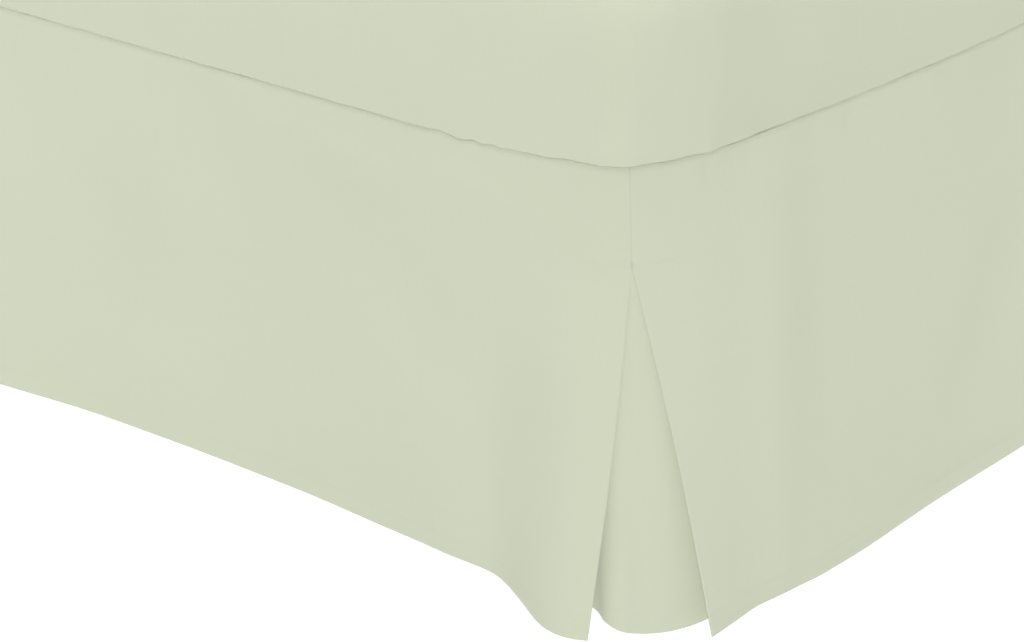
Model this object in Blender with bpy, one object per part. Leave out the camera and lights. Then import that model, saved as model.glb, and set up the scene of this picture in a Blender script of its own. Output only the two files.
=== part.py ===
"""Bed skirt on a bed: a fitted mattress cover with a skirt sewn under its lower edge.

The skirt is four panels, one to a side of the bed. They meet at an inverted pleat at
each corner: sewn shut under the seam, open below it, with an underlay behind. The bed
itself is plain: a filled mattress on a base with six feet. Metres, +Z up, the head of
the bed at +Y, the origin on the floor under the middle.
"""

import math
from typing import NamedTuple

import bmesh
import bpy
from mathutils import Vector

# Bed and skirt
BED_WIDTH = 1.350  # X, between the straight runs of the seam
BED_LENGTH = 1.900  # Y, the same
SEAM_HEIGHT = 0.4075  # middle of the gap between the cover's edge and the skirt's
SKIRT_TOP = SEAM_HEIGHT - 0.0004
COVER_LOW = 0.0004  # lower edge of the cover, above SEAM_HEIGHT
CLOTH = 0.0016  # thickness of every sheet
SEAM_TUCK = 0.006  # how far the seam lies inside the cloth above and below it

# Corner pleat
PLEAT_SEWN = 0.083  # length sewn shut under the seam
PLEAT_HOLD = 0.120  # how far along a panel the sewn length holds it in
SEWN_DRIFT = {"end": (0.006, 0.003), "long": (0.003, 0.006)}  # along, out, at the sewn end
EDGE_GAP = 0.0005  # from each panel's edge to the corner line
UNDERLAY_INSET = 0.0026  # middle of the underlay behind the middle of the panels

# Mattress, inside the cover
MATTRESS_LOW = 0.4023
MATTRESS_FLAT_INSET = 0.022  # its flat underside, inside the seam
SIDE_CLEARANCE = 0.0026  # between mattress and cover
TOP_CLEARANCE = 0.0008
EDGE_TURN = (0.12, 0.20)  # heights above the seam between which the side becomes the top
CORE_INSET = 0.400  # from the bed's sides to the block that the corners fan out from

# Base
BASE_INSET = 0.034
BASE_LOW = 0.040
BASE_TOP = 0.402
BASE_CORNER = 0.120
BASE_CORNER_STEPS = 6
FOOT_RADIUS = 0.030
FOOT_SIDES = 20
FOOT_TOP = 0.0397
FOOT_INSET = 0.180


class Corner(NamedTuple):
    """How the seam draws in near a corner of the bed, along one side."""

    meet: float  # from the bed's corner to the corner line
    draw: float
    draw_reach: float
    round_reach: float


SEAM_CORNER = {
    "end": Corner(meet=0.052, draw=0.040, draw_reach=0.200, round_reach=0.075),
    "long": Corner(meet=0.033, draw=0.034, draw_reach=0.470, round_reach=0.115),
}
DRAW_POWER = 1.5
ROUND_POWER = 1.7


class Hem(NamedTuple):
    """A section of a panel at its hem, from the bed's corner."""

    along: float
    out: float
    up: float


HEM_FOOT_NEAR = (
    Hem(0.045, 0.0240, 0.010),  # free edge at the pleat
    Hem(0.060, 0.0305, 0.010),
    Hem(0.076, 0.0315, 0.010),  # crest of the kick
    Hem(0.094, 0.0275, 0.011),
    Hem(0.126, 0.0120, 0.015),
    Hem(0.150, 0.0010, 0.018),
    Hem(0.172, -0.0045, 0.020),
    Hem(0.230, -0.0050, 0.020),
    Hem(0.400, -0.0140, 0.020),
    Hem(0.530, -0.0150, 0.020),  # hollow of the long stretch
    Hem(0.660, -0.0120, 0.020),
    Hem(0.790, 0.0000, 0.020),
)
HEM_SIDE_NEAR = (
    Hem(0.046, 0.0310, 0.010),  # free edge at the pleat
    Hem(0.081, 0.0300, 0.010),
    Hem(0.118, 0.0290, 0.010),
    Hem(0.160, 0.0340, 0.010),
    Hem(0.200, 0.0400, 0.010),
    Hem(0.380, 0.0410, 0.010),
    Hem(0.530, 0.0420, 0.010),
)
HEM_END_PLAIN = (
    Hem(0.046, 0.0250, 0.010),
    Hem(0.075, 0.0315, 0.010),
    Hem(0.110, 0.0220, 0.011),
    Hem(0.170, 0.0040, 0.014),
    Hem(0.260, 0.0000, 0.015),
)
HEM_LONG_PLAIN = (
    Hem(0.046, 0.0330, 0.010),
    Hem(0.110, 0.0320, 0.010),
    Hem(0.220, 0.0420, 0.010),
    Hem(0.500, 0.0400, 0.010),
)


class Turn(NamedTuple):
    """A point of an underlay's hem, from the bed's corner, outward positive."""

    across: float
    lengthways: float
    up: float


UNDERLAY_HEM = (
    Turn(-0.103, -0.0185, 0.019),
    Turn(-0.064, -0.010, 0.019),
    Turn(-0.044, 0.0015, 0.0185),
    Turn(-0.0285, 0.0005, 0.0145),
    Turn(-0.019, -0.013, 0.010),
    Turn(-0.006, -0.026, 0.010),
    Turn(0.003, -0.043, 0.010),
    Turn(0.009, -0.065, 0.010),
    Turn(0.013, -0.112, 0.010),
)
UNDERLAY_TURN = (0.1, 0.9)  # shares of its width between which it turns the corner


class Drag(NamedTuple):
    """A soft diagonal fold of a panel, along its run and down from the seam."""

    top_along: float
    top_down: float
    low_along: float
    low_down: float
    width: float
    rise: float


DRAGS = {
    "skirt_foot": (
        Drag(0.61, 0.06, 0.75, 0.24, 0.050, -0.0020),
        Drag(0.89, 0.05, 1.05, 0.22, 0.055, 0.0022),
        Drag(0.95, 0.06, 1.19, 0.25, 0.060, -0.0018),
        Drag(0.57, 0.36, 0.93, 0.37, 0.035, 0.0020),
    ),
    "skirt_right": (
        Drag(0.62, 0.05, 0.42, 0.34, 0.060, -0.0025),
        Drag(0.20, 0.02, 0.13, 0.38, 0.050, 0.0020),
    ),
}
DRAG_TAPER = 0.15  # share of its rise that a fold keeps out of the arch, at each end


class CoverRow(NamedTuple):
    """A ring of the cover, above the seam and out from it."""

    up: float
    side_out: float
    corner_out: float


COVER_SIDE = (
    CoverRow(COVER_LOW, -0.006, -0.006),  # lower edge, tucked into the seam
    CoverRow(0.013, 0.0005, 0.003),
    CoverRow(0.040, 0.005, 0.011),
    CoverRow(0.085, 0.005, 0.017),
    CoverRow(0.125, 0.002, 0.017),
    CoverRow(0.158, -0.010, 0.005),
    CoverRow(0.182, -0.031, -0.016),
    CoverRow(0.195, -0.060, -0.046),
)
COVER_TOP = (
    CoverRow(0.201, -0.110, -0.100),
    CoverRow(0.205, -0.290, -0.290),
)
COVER_CROWN = 0.207
LOOP_STEPS = (0.0, 0.022, 0.050, 0.095, 0.165, 0.260, 0.400)  # rings' points from a corner line
CORNER_REACH = 0.160  # how far from a corner corner_out still counts

# Columns: up to this far from a corner line, this far apart
FINE_STEP = 0.0125
UNDERLAY_STEPS = 5  # fine steps to each side of the corner line
NEAR_STEPS = ((0.19, FINE_STEP), (0.80, 0.050), (9.0, 0.090))
PLAIN_STEPS = ((0.06, FINE_STEP), (0.17, 0.0280), (9.0, 0.110))
NEAR_ROWS = (0.0, 0.030, 0.100, 0.2075, 0.310, 0.430, 0.560, 0.690, 0.810, 0.910, 1.0)
PLAIN_ROWS = (0.0, 0.030, 0.2075, 0.400, 0.600, 0.800, 1.0)


class Side(NamedTuple):
    """One side of the bed, seen from outside with its run going anticlockwise in plan."""

    name: str
    kind: str
    run: float
    along: Vector
    out: Vector
    origin: Vector  # the bed's corner where the run starts
    start_hem: tuple
    end_hem: tuple
    fade: tuple  # where along the run one hem passes into the other
    start_steps: tuple
    end_steps: tuple
    rows: tuple


X_HALF, Y_HALF = BED_WIDTH / 2, BED_LENGTH / 2
EAST, NORTH = Vector((1, 0, 0)), Vector((0, 1, 0))
SIDES = (
    Side("skirt_foot", "end", BED_WIDTH, EAST, -NORTH, Vector((-X_HALF, -Y_HALF, 0)),
         HEM_END_PLAIN, HEM_FOOT_NEAR, (0.30, 0.55), PLAIN_STEPS, NEAR_STEPS, NEAR_ROWS),
    Side("skirt_right", "long", BED_LENGTH, NORTH, EAST, Vector((X_HALF, -Y_HALF, 0)),
         HEM_SIDE_NEAR, HEM_LONG_PLAIN, (0.80, 1.40), NEAR_STEPS, PLAIN_STEPS, NEAR_ROWS),
    Side("skirt_head", "end", BED_WIDTH, -EAST, NORTH, Vector((X_HALF, Y_HALF, 0)),
         HEM_END_PLAIN, HEM_END_PLAIN, (0.50, 0.85), PLAIN_STEPS, PLAIN_STEPS, PLAIN_ROWS),
    Side("skirt_left", "long", BED_LENGTH, -NORTH, -EAST, Vector((-X_HALF, Y_HALF, 0)),
         HEM_LONG_PLAIN, HEM_LONG_PLAIN, (0.75, 1.15), PLAIN_STEPS, PLAIN_STEPS, PLAIN_ROWS),
)


def clear_scene():
    for obj in list(bpy.data.objects):
        bpy.data.objects.remove(obj, do_unlink=True)


def material(name, colour, roughness):
    made = bpy.data.materials.new(name)
    made.use_nodes = True
    shader = made.node_tree.nodes["Principled BSDF"]
    shader.inputs["Base Color"].default_value = (*colour, 1.0)
    shader.inputs["Roughness"].default_value = roughness
    shader.inputs["Metallic"].default_value = 0.0
    return made


def add_object(name, points, faces, finish, smooth=True):
    mesh = bpy.data.meshes.new(name)
    mesh.from_pydata([tuple(p) for p in points], [], faces)
    if smooth:
        mesh.shade_smooth()
    mesh.materials.append(finish)
    obj = bpy.data.objects.new(name, mesh)
    bpy.context.scene.collection.objects.link(obj)
    return obj


def thicken(obj, offset):
    """Gives a sheet its thickness: offset 0 is about the middle, -1 is inwards."""
    wall = obj.modifiers.new("Cloth", "SOLIDIFY")
    wall.thickness = CLOTH
    wall.offset = offset
    wall.use_even_offset = True
    obj.modifiers.new("Shading", "WEIGHTED_NORMAL")


def blend(low, high, value):
    """0 below low, 1 above high, smooth between."""
    t = min(1.0, max(0.0, (value - low) / (high - low)))
    return t * t * (3 - 2 * t)


def curve_at(keys, values, at):
    """The value at a place on a smooth curve through the rows, flat past its ends."""
    if at <= keys[0]:
        return values[0]
    if at >= keys[-1]:
        return values[-1]
    i = max(k for k in range(len(keys) - 1) if keys[k] <= at)

    def slope(k):
        before, after = max(0, k - 1), min(len(keys) - 1, k + 1)
        return (values[after] - values[before]) / (keys[after] - keys[before])

    width = keys[i + 1] - keys[i]
    t = (at - keys[i]) / width
    return (
        values[i] * (2 * t**3 - 3 * t**2 + 1)
        + values[i + 1] * (3 * t**2 - 2 * t**3)
        + slope(i) * width * (t**3 - 2 * t**2 + t)
        + slope(i + 1) * width * (t**3 - t**2)
    )


def seam_inset(kind, from_corner):
    """How far inside the bed's straight side the seam runs, this far from a corner."""
    corner = SEAM_CORNER[kind]
    other = SEAM_CORNER["long" if kind == "end" else "end"]

    def drawn(d):
        return corner.draw * max(0.0, 1 - d / corner.draw_reach) ** DRAW_POWER

    def rounded(d):
        return max(0.0, 1 - d / corner.round_reach) ** ROUND_POWER

    depth = (other.meet - drawn(corner.meet)) / rounded(corner.meet)
    return drawn(from_corner) + depth * rounded(from_corner)


def core_point(point):
    """The nearest point of the core block, in plan."""
    return Vector((
        max(CORE_INSET - X_HALF, min(X_HALF - CORE_INSET, point.x)),
        max(CORE_INSET - Y_HALF, min(Y_HALF - CORE_INSET, point.y)),
        0,
    ))


def to_core(point):
    """The inward direction in plan, fanning round at the corners."""
    return (core_point(point) - point).normalized()


def side_inset(side, along):
    return seam_inset(side.kind, along) + seam_inset(side.kind, side.run - along)


def hem_at(side, along):
    """(out, up) of the hem at a place along the run."""
    found = []
    for rows, place in ((side.start_hem, along), (side.end_hem, side.run - along)):
        keys = [row.along for row in rows]
        found.append(Vector((
            curve_at(keys, [row.out for row in rows], place),
            curve_at(keys, [row.up for row in rows], place),
        )))
    return found[0].lerp(found[1], blend(*side.fade, along))


def drag_rise(side, along, down):
    """How far the soft diagonal folds lift the cloth off its panel here."""
    total = 0.0
    for fold in DRAGS.get(side.name, ()):
        top = Vector((fold.top_along, fold.top_down))
        run = Vector((fold.low_along, fold.low_down)) - top
        here = Vector((along, down)) - top
        t = min(1.0, max(0.0, here.dot(run) / run.length_squared))
        aside = (here - run * t).length / fold.width
        arch = math.sin(math.pi * (DRAG_TAPER + (1 - 2 * DRAG_TAPER) * t))
        total += fold.rise * arch * math.exp(-2 * aside**2)
    return total


def columns_of(side):
    """Places along the seam, closer together near the pleats."""
    meet = SEAM_CORNER[side.kind].meet
    middle = sum(side.fade) / 2

    def walk(steps, reach):
        found = [0.0]
        while found[-1] < reach:
            found.append(found[-1] + next(step for stop, step in steps if found[-1] < stop))
        return found[:-1]

    start = [meet + place for place in walk(side.start_steps, middle - meet)]
    end = [side.run - meet - place for place in walk(side.end_steps, side.run - meet - middle)]
    if end[-1] - start[-1] < FINE_STEP:
        end.pop()
    return start + end[::-1]


def panel_point(side, at_seam, v):
    """A point of a panel's middle surface: v is 0 at the seam and 1 at the hem.

    The hem's outline fades upwards into the seam's. Near a pleat the sewn length holds
    the panel in, and only below it does the hem's outline begin to show.
    """
    meet = SEAM_CORNER[side.kind].meet
    share = (at_seam - meet) / (side.run - 2 * meet)
    hem_start = side.start_hem[0].along
    hem_end = side.run - side.end_hem[0].along
    at_hem = hem_start + share * (hem_end - hem_start)
    out_low, up_low = hem_at(side, at_hem)
    top = Vector((at_seam, -side_inset(side, at_seam)))
    low = Vector((at_hem, out_low))
    from_start, from_end = at_seam - meet, side.run - meet - at_seam
    held = 1 - blend(0.0, PLEAT_HOLD, min(from_start, from_end))
    along_drift, out_drift = SEWN_DRIFT[side.kind]
    towards = -1 if from_start < from_end else 1
    drift = Vector((towards * along_drift, out_drift)) * held
    drop = SKIRT_TOP - up_low
    sewn = PLEAT_SEWN / drop * held
    opened = max(0.0, (v - sewn) / (1 - sewn))
    place = top + drift * min(1.0, v / max(sewn, 1e-6)) + (low - top - drift) * opened
    tuck = SEAM_TUCK * (1 - blend(0.0, NEAR_ROWS[1], v))
    lift = drag_rise(side, at_seam, v * drop) * (1 - held)
    place.x -= towards * EDGE_GAP * held
    world = side.origin + side.along * place.x + side.out * (place.y + lift)
    world += to_core(side.origin + side.along * top.x + side.out * top.y) * tuck
    world.z = SKIRT_TOP - v * drop
    return world


def grid_faces(columns, rows):
    return [
        (i * rows + j, i * rows + j + 1, (i + 1) * rows + j + 1, (i + 1) * rows + j)
        for i in range(columns - 1)
        for j in range(rows - 1)
    ]


def build_panel(side, finish):
    places = columns_of(side)
    points = [panel_point(side, place, v) for place in places for v in side.rows]
    panel = add_object(side.name, points, grid_faces(len(places), len(side.rows)), finish)
    thicken(panel, 0.0)


def underlay_point(step, v):
    """A point of an underlay, from the bed's corner, outward positive in X and Y.

    The steps count from 0 at the corner line, below it along the end of the bed and
    above it along the side.
    """
    from_line = abs(step) * FINE_STEP
    share = 0.5 + 0.5 * step / UNDERLAY_STEPS
    if step < 0:
        along = SEAM_CORNER["end"].meet + from_line
        top = Vector((-along, -seam_inset("end", along)))
    else:
        along = SEAM_CORNER["long"].meet + from_line
        top = Vector((-seam_inset("long", along), -along))
    turn = math.pi / 2 * blend(*UNDERLAY_TURN, share)
    inward = Vector((-math.sin(turn), -math.cos(turn)))
    drift = Vector((SEWN_DRIFT["end"][0], SEWN_DRIFT["long"][0]))
    keys = [k / (len(UNDERLAY_HEM) - 1) for k in range(len(UNDERLAY_HEM))]
    low = Vector((
        curve_at(keys, [row.across for row in UNDERLAY_HEM], share),
        curve_at(keys, [row.lengthways for row in UNDERLAY_HEM], share),
    ))
    drop = SKIRT_TOP - curve_at(keys, [row.up for row in UNDERLAY_HEM], share)
    sewn = PLEAT_SEWN / drop
    opened = max(0.0, (v - sewn) / (1 - sewn))
    drift *= 1 - blend(0.0, PLEAT_HOLD, from_line)
    tuck = SEAM_TUCK * (1 - blend(0.0, NEAR_ROWS[1], v))
    fan = to_core(Vector((X_HALF + top.x, Y_HALF + top.y, 0)))
    start = top + inward * UNDERLAY_INSET + fan.xy * tuck
    place = start + drift * min(1.0, v / sewn) + (low - start - drift) * opened
    return Vector((place.x, place.y, SKIRT_TOP - v * drop))


def build_underlay(name, x_sign, y_sign, rows, finish):
    points = []
    steps = range(-UNDERLAY_STEPS, UNDERLAY_STEPS + 1)
    for step in steps:
        for v in rows:
            point = underlay_point(step, v)
            points.append((
                x_sign * (X_HALF + point.x),
                y_sign * (Y_HALF + point.y),
                point.z,
            ))
    underlay = add_object(name, points, grid_faces(len(steps), len(rows)), finish)
    thicken(underlay, 0.0)


def seam_loop():
    """The seam in plan, as (point, how near a corner from 0 to 1), anticlockwise."""
    loop = []
    for side in SIDES:
        meet = SEAM_CORNER[side.kind].meet
        places = [meet + step for step in LOOP_STEPS]
        places += [side.run / 2] + [side.run - place for place in places[::-1]]
        for place in places[:-1]:
            near = 1 - blend(0.0, CORNER_REACH, min(place, side.run - place) - meet)
            point = side.origin + side.along * place - side.out * side_inset(side, place)
            loop.append((point, near))
    return loop


def ring(loop, up, side_out, corner_out, less=0.0):
    """The loop moved out from the core block by the row's sizes."""
    points = []
    for point, near in loop:
        out = side_out + (corner_out - side_out) * near - less
        moved = point - to_core(point) * out
        points.append(Vector((moved.x, moved.y, SEAM_HEIGHT + up)))
    return points


def ring_faces(count, rings):
    return [
        (r * count + i, r * count + (i + 1) % count,
         (r + 1) * count + (i + 1) % count, (r + 1) * count + i)
        for r in range(rings - 1)
        for i in range(count)
    ]


def crown_faces(count, rings, centre):
    base = (rings - 1) * count
    return [(base + i, base + (i + 1) % count, centre) for i in range(count)]


def build_cover(finish):
    loop = seam_loop()
    rows = COVER_SIDE + COVER_TOP
    points = [p for row in rows for p in ring(loop, row.up, row.side_out, row.corner_out)]
    points.append(Vector((0, 0, SEAM_HEIGHT + COVER_CROWN)))
    count = len(loop)
    faces = ring_faces(count, len(rows)) + crown_faces(count, len(rows), len(points) - 1)
    cover = add_object("mattress_cover", points, faces, finish)
    thicken(cover, -1.0)


def build_mattress(finish):
    """The filled mattress: the cover's rings, drawn in under it, on a flat underside."""
    loop = seam_loop()
    flat = MATTRESS_LOW - SEAM_HEIGHT
    rings = [ring(loop, flat, -MATTRESS_FLAT_INSET, -MATTRESS_FLAT_INSET)]
    for row in COVER_SIDE[1:] + COVER_TOP:
        turned = blend(*EDGE_TURN, row.up)
        less = CLOTH + SIDE_CLEARANCE * (1 - turned)
        lower = (CLOTH + TOP_CLEARANCE) * turned
        rings.append(ring(loop, row.up - lower, row.side_out, row.corner_out, less))
    points = [p for one in rings for p in one]
    crown = COVER_CROWN - CLOTH - TOP_CLEARANCE
    points.append(Vector((0, 0, SEAM_HEIGHT + crown)))
    count = len(loop)
    faces = ring_faces(count, len(rings)) + crown_faces(count, len(rings), len(points) - 1)
    faces.append(tuple(reversed(range(count))))
    add_object("mattress", points, faces, finish)


def build_base(finish):
    size = (BED_WIDTH - 2 * BASE_INSET, BED_LENGTH - 2 * BASE_INSET, BASE_TOP - BASE_LOW)
    shape = bmesh.new()
    bmesh.ops.create_cube(shape, size=1.0)
    bmesh.ops.scale(shape, vec=size, verts=shape.verts)
    bmesh.ops.translate(shape, vec=(0, 0, (BASE_TOP + BASE_LOW) / 2), verts=shape.verts)
    upright = [e for e in shape.edges if abs(e.verts[0].co.z - e.verts[1].co.z) > size[2] / 2]
    bmesh.ops.bevel(
        shape, geom=upright, offset=BASE_CORNER, segments=BASE_CORNER_STEPS,
        profile=0.5, affect="EDGES",
    )
    mesh = bpy.data.meshes.new("bed_base")
    shape.to_mesh(mesh)
    shape.free()
    mesh.materials.append(finish)
    base = bpy.data.objects.new("bed_base", mesh)
    bpy.context.scene.collection.objects.link(base)


def build_feet(finish):
    across, lengthways = X_HALF - FOOT_INSET, Y_HALF - FOOT_INSET
    places = [(x, y) for y in (-lengthways, 0.0, lengthways) for x in (-across, across)]
    for number, (x, y) in enumerate(places, start=1):
        shape = bmesh.new()
        bmesh.ops.create_cone(
            shape, cap_ends=True, segments=FOOT_SIDES,
            radius1=FOOT_RADIUS, radius2=FOOT_RADIUS, depth=FOOT_TOP,
        )
        mesh = bpy.data.meshes.new(f"bed_foot_{number}")
        shape.to_mesh(mesh)
        shape.free()
        mesh.materials.append(finish)
        foot = bpy.data.objects.new(f"bed_foot_{number}", mesh)
        foot.location = (x, y, FOOT_TOP / 2)
        bpy.context.scene.collection.objects.link(foot)


def main():
    clear_scene()
    cloth = material("green_cloth", (0.60, 0.64, 0.50), 0.9)
    ticking = material("ticking", (0.75, 0.74, 0.70), 0.9)
    board = material("base_board", (0.55, 0.50, 0.43), 0.7)
    black = material("foot_plastic", (0.05, 0.05, 0.05), 0.5)
    build_base(board)
    build_feet(black)
    build_mattress(ticking)
    build_cover(cloth)
    for side in SIDES:
        build_panel(side, cloth)
    corners = (
        ("underlay_foot_right", 1, -1, NEAR_ROWS),
        ("underlay_head_right", 1, 1, PLAIN_ROWS),
        ("underlay_head_left", -1, 1, PLAIN_ROWS),
        ("underlay_foot_left", -1, -1, PLAIN_ROWS),
    )
    for name, x_sign, y_sign, rows in corners:
        build_underlay(name, x_sign, y_sign, rows, cloth)


main()
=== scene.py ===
"""Looks of a bed skirt: a fitted mattress cover with a pleated skirt sewn under it.

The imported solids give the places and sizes. Here every sheet of cloth is rebuilt as a
thin shell on the folds of its solid, with its turned pleat edges, hem, seam gathers and
stitches. Metres, +Z up, the foot of the bed at -Y, the corner that shows at (+X, -Y).
"""

import logging
import math
from dataclasses import dataclass, field, replace
from enum import Enum
from typing import NamedTuple

import bpy
import numpy as np
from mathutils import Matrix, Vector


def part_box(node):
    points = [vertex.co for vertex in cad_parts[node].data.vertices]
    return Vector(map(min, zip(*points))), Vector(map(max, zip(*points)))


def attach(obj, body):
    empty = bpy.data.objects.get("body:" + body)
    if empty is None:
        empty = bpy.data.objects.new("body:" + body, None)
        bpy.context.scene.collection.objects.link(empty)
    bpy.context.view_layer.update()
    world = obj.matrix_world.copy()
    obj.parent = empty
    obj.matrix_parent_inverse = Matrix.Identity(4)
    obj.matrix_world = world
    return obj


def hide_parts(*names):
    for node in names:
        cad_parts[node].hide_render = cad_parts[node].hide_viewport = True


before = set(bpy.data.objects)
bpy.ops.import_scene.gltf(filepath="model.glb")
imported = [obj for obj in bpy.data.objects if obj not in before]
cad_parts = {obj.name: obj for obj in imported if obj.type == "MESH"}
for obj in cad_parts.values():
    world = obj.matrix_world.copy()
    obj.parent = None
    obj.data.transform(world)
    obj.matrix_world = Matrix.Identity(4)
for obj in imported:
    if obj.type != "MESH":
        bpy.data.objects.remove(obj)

LOG = logging.getLogger("bed_skirt")
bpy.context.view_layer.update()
ROOT = "root"


class Run(Enum):
    """Which way a side of the bed runs."""

    END = "end"
    LONG = "long"


class Held(Enum):
    """How a sheet of cloth is held on the bed."""

    HUNG = "hung"
    STRETCHED = "stretched"


class Slot(Enum):
    """Names of the finishes for the cloth pieces and the mattress."""

    CLOTH = "green_cloth"
    TICKING = "ticking"


class Corner(NamedTuple):
    """How the seam draws in near a corner of the bed, along one side."""

    meet: float
    draw: float
    draw_reach: float
    round_reach: float


class Hem(NamedTuple):
    """A section of a panel at its hem, from the bed's corner."""

    along: float
    out: float
    up: float


class Turn(NamedTuple):
    """A point of an underlay's hem, from the bed's corner, outward positive."""

    across: float
    lengthways: float
    up: float


class Fold(NamedTuple):
    """A soft ridge or trough of a panel, from the near corner and down from the seam."""

    top_from: float
    top_down: float
    low_from: float
    low_down: float
    width: float
    rise: float


class Pucker(NamedTuple):
    """A place where the seam is pulled up, or the skirt in, from the near corner."""

    place: float
    width: float
    rise: float


class Row(NamedTuple):
    """A row of stitches: its points on the cloth, and the outward directions there."""

    points: np.ndarray
    outward: np.ndarray


class CoverRow(NamedTuple):
    """A ring of the cover, above the seam and out from it."""

    up: float
    side_out: float
    corner_out: float


class SeamLoop(NamedTuple):
    """The seam all round the bed, a value of each column for every point of it."""

    points: np.ndarray
    length: np.ndarray
    near: np.ndarray
    wobble: np.ndarray
    from_line: np.ndarray
    lean: np.ndarray
    swell: np.ndarray


class PleatCorner(NamedTuple):
    """A corner of the bed: its underlay's name, where it is, and how far that bellies."""

    name: str
    x_sign: int
    y_sign: int
    belly: float


SEAM_CORNER = {
    Run.END: Corner(meet=0.052, draw=0.040, draw_reach=0.200, round_reach=0.075),
    Run.LONG: Corner(meet=0.033, draw=0.034, draw_reach=0.470, round_reach=0.115),
}
DRAW_POWER = 1.5
ROUND_POWER = 1.7
# Where along the seam the cover's lip, and the skirt's closing up to it, begin and are full.
LIP_REACH = (0.030, 0.100)
CLOSING_REACH = (0.135, 0.165)
# How far from the seam a pull on it fades.
PULL_REACH = 0.020
# How much of a fold's arch lies past each of its ends, and how fast it falls off aside.
FOLD_ENDS = 0.15
FOLD_FALL = 2.0
# Places of the colour sockets on a Mix node.
MIX_FIRST, MIX_SECOND, MIX_RESULT = 6, 7, 2
# How far a panel's edge moves along and out by the end of the pleat's sewing.
SEWN_DRIFT = {Run.END: (0.006, 0.003), Run.LONG: (0.003, 0.006)}

HEM_FOOT_NEAR = (
    Hem(0.045, 0.0240, 0.010),
    Hem(0.060, 0.0305, 0.010),
    Hem(0.076, 0.0315, 0.010),
    Hem(0.094, 0.0275, 0.011),
    Hem(0.126, 0.0120, 0.015),
    Hem(0.150, 0.0010, 0.018),
    Hem(0.172, -0.0045, 0.020),
    Hem(0.230, -0.0050, 0.020),
    Hem(0.400, -0.0140, 0.020),
    Hem(0.530, -0.0150, 0.020),
    Hem(0.660, -0.0120, 0.020),
    Hem(0.790, 0.0000, 0.020),
)
HEM_SIDE_NEAR = (
    Hem(0.046, 0.0310, 0.010),
    Hem(0.081, 0.0300, 0.010),
    Hem(0.118, 0.0290, 0.010),
    Hem(0.160, 0.0340, 0.010),
    Hem(0.200, 0.0400, 0.010),
    Hem(0.380, 0.0410, 0.010),
    Hem(0.530, 0.0420, 0.010),
)
HEM_END_PLAIN = (
    Hem(0.046, 0.0250, 0.010),
    Hem(0.075, 0.0315, 0.010),
    Hem(0.110, 0.0220, 0.011),
    Hem(0.170, 0.0040, 0.014),
    Hem(0.260, 0.0000, 0.015),
)
HEM_LONG_PLAIN = (
    Hem(0.046, 0.0330, 0.010),
    Hem(0.110, 0.0320, 0.010),
    Hem(0.220, 0.0420, 0.010),
    Hem(0.500, 0.0400, 0.010),
)
UNDERLAY_HEM = (
    Turn(-0.103, -0.0185, 0.019),
    Turn(-0.064, -0.010, 0.019),
    Turn(-0.044, 0.0015, 0.0185),
    Turn(-0.0285, 0.0005, 0.0145),
    Turn(-0.019, -0.013, 0.010),
    Turn(-0.006, -0.026, 0.010),
    Turn(0.003, -0.043, 0.010),
    Turn(0.009, -0.065, 0.010),
    Turn(0.013, -0.112, 0.010),
)
FOOT_FOLDS = (
    Fold(0.74, 0.06, 0.60, 0.24, 0.050, -0.0035),
    Fold(0.46, 0.05, 0.30, 0.22, 0.055, 0.0038),
    Fold(0.40, 0.06, 0.16, 0.25, 0.060, -0.0033),
    Fold(0.90, 0.368, 0.26, 0.374, 0.032, -0.0050),
    Fold(0.44, 0.030, 0.26, 0.048, 0.022, 0.0052),
    Fold(0.25, 0.034, 0.11, 0.046, 0.020, 0.0042),
    Fold(0.30, 0.22, 0.25, 0.18, 0.045, -0.0020),
    Fold(0.15, 0.15, 0.12, 0.24, 0.035, -0.0020),
    Fold(0.34, 0.31, 0.20, 0.22, 0.040, 0.0022),
)
SIDE_FOLDS = (
    Fold(0.62, 0.05, 0.42, 0.34, 0.060, -0.0045),
    Fold(0.17, 0.02, 0.13, 0.38, 0.050, 0.0060),
    Fold(0.30, 0.385, 0.52, 0.385, 0.022, -0.0022),
    Fold(0.08, 0.02, 0.24, 0.05, 0.030, 0.0020),
)
FOOT_PUCKERS = (
    Pucker(0.222, 0.011, 0.0012),
    Pucker(0.200, 0.009, -0.0015),
    Pucker(0.187, 0.006, 0.0009),
    Pucker(0.177, 0.006, -0.0012),
    Pucker(0.167, 0.005, 0.0010),
    Pucker(0.160, 0.005, -0.0012),
    Pucker(0.118, 0.010, -0.0010),
    Pucker(0.100, 0.007, 0.0006),
)
SIDE_PUCKERS = (
    Pucker(0.048, 0.006, 0.0003),
    Pucker(0.064, 0.007, -0.0003),
    Pucker(0.083, 0.006, 0.0004),
    Pucker(0.103, 0.008, -0.0003),
    Pucker(0.118, 0.005, 0.0002),
)
SIDE_NOTCHES = (
    Pucker(0.100, 0.010, 0.0016),
    Pucker(0.125, 0.014, 0.0018),
)
COVER_ROWS = (
    CoverRow(0.0034, 0.0000, 0.0000),
    CoverRow(0.0130, 0.0015, 0.0035),
    CoverRow(0.0400, 0.0050, 0.0110),
    CoverRow(0.0850, 0.0050, 0.0170),
    CoverRow(0.1250, 0.0010, 0.0145),
    CoverRow(0.1580, -0.0130, -0.0010),
    CoverRow(0.1820, -0.0330, -0.0200),
    CoverRow(0.1950, -0.0600, -0.0460),
    CoverRow(0.2010, -0.1100, -0.1000),
    CoverRow(0.2050, -0.2900, -0.2900),
)
PLEAT_CORNERS = (
    PleatCorner("underlay_foot_right", 1, -1, 0.22),
    PleatCorner("underlay_head_right", 1, 1, 0.0),
    PleatCorner("underlay_head_left", -1, 1, 0.0),
    PleatCorner("underlay_foot_left", -1, -1, 0.0),
)


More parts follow.
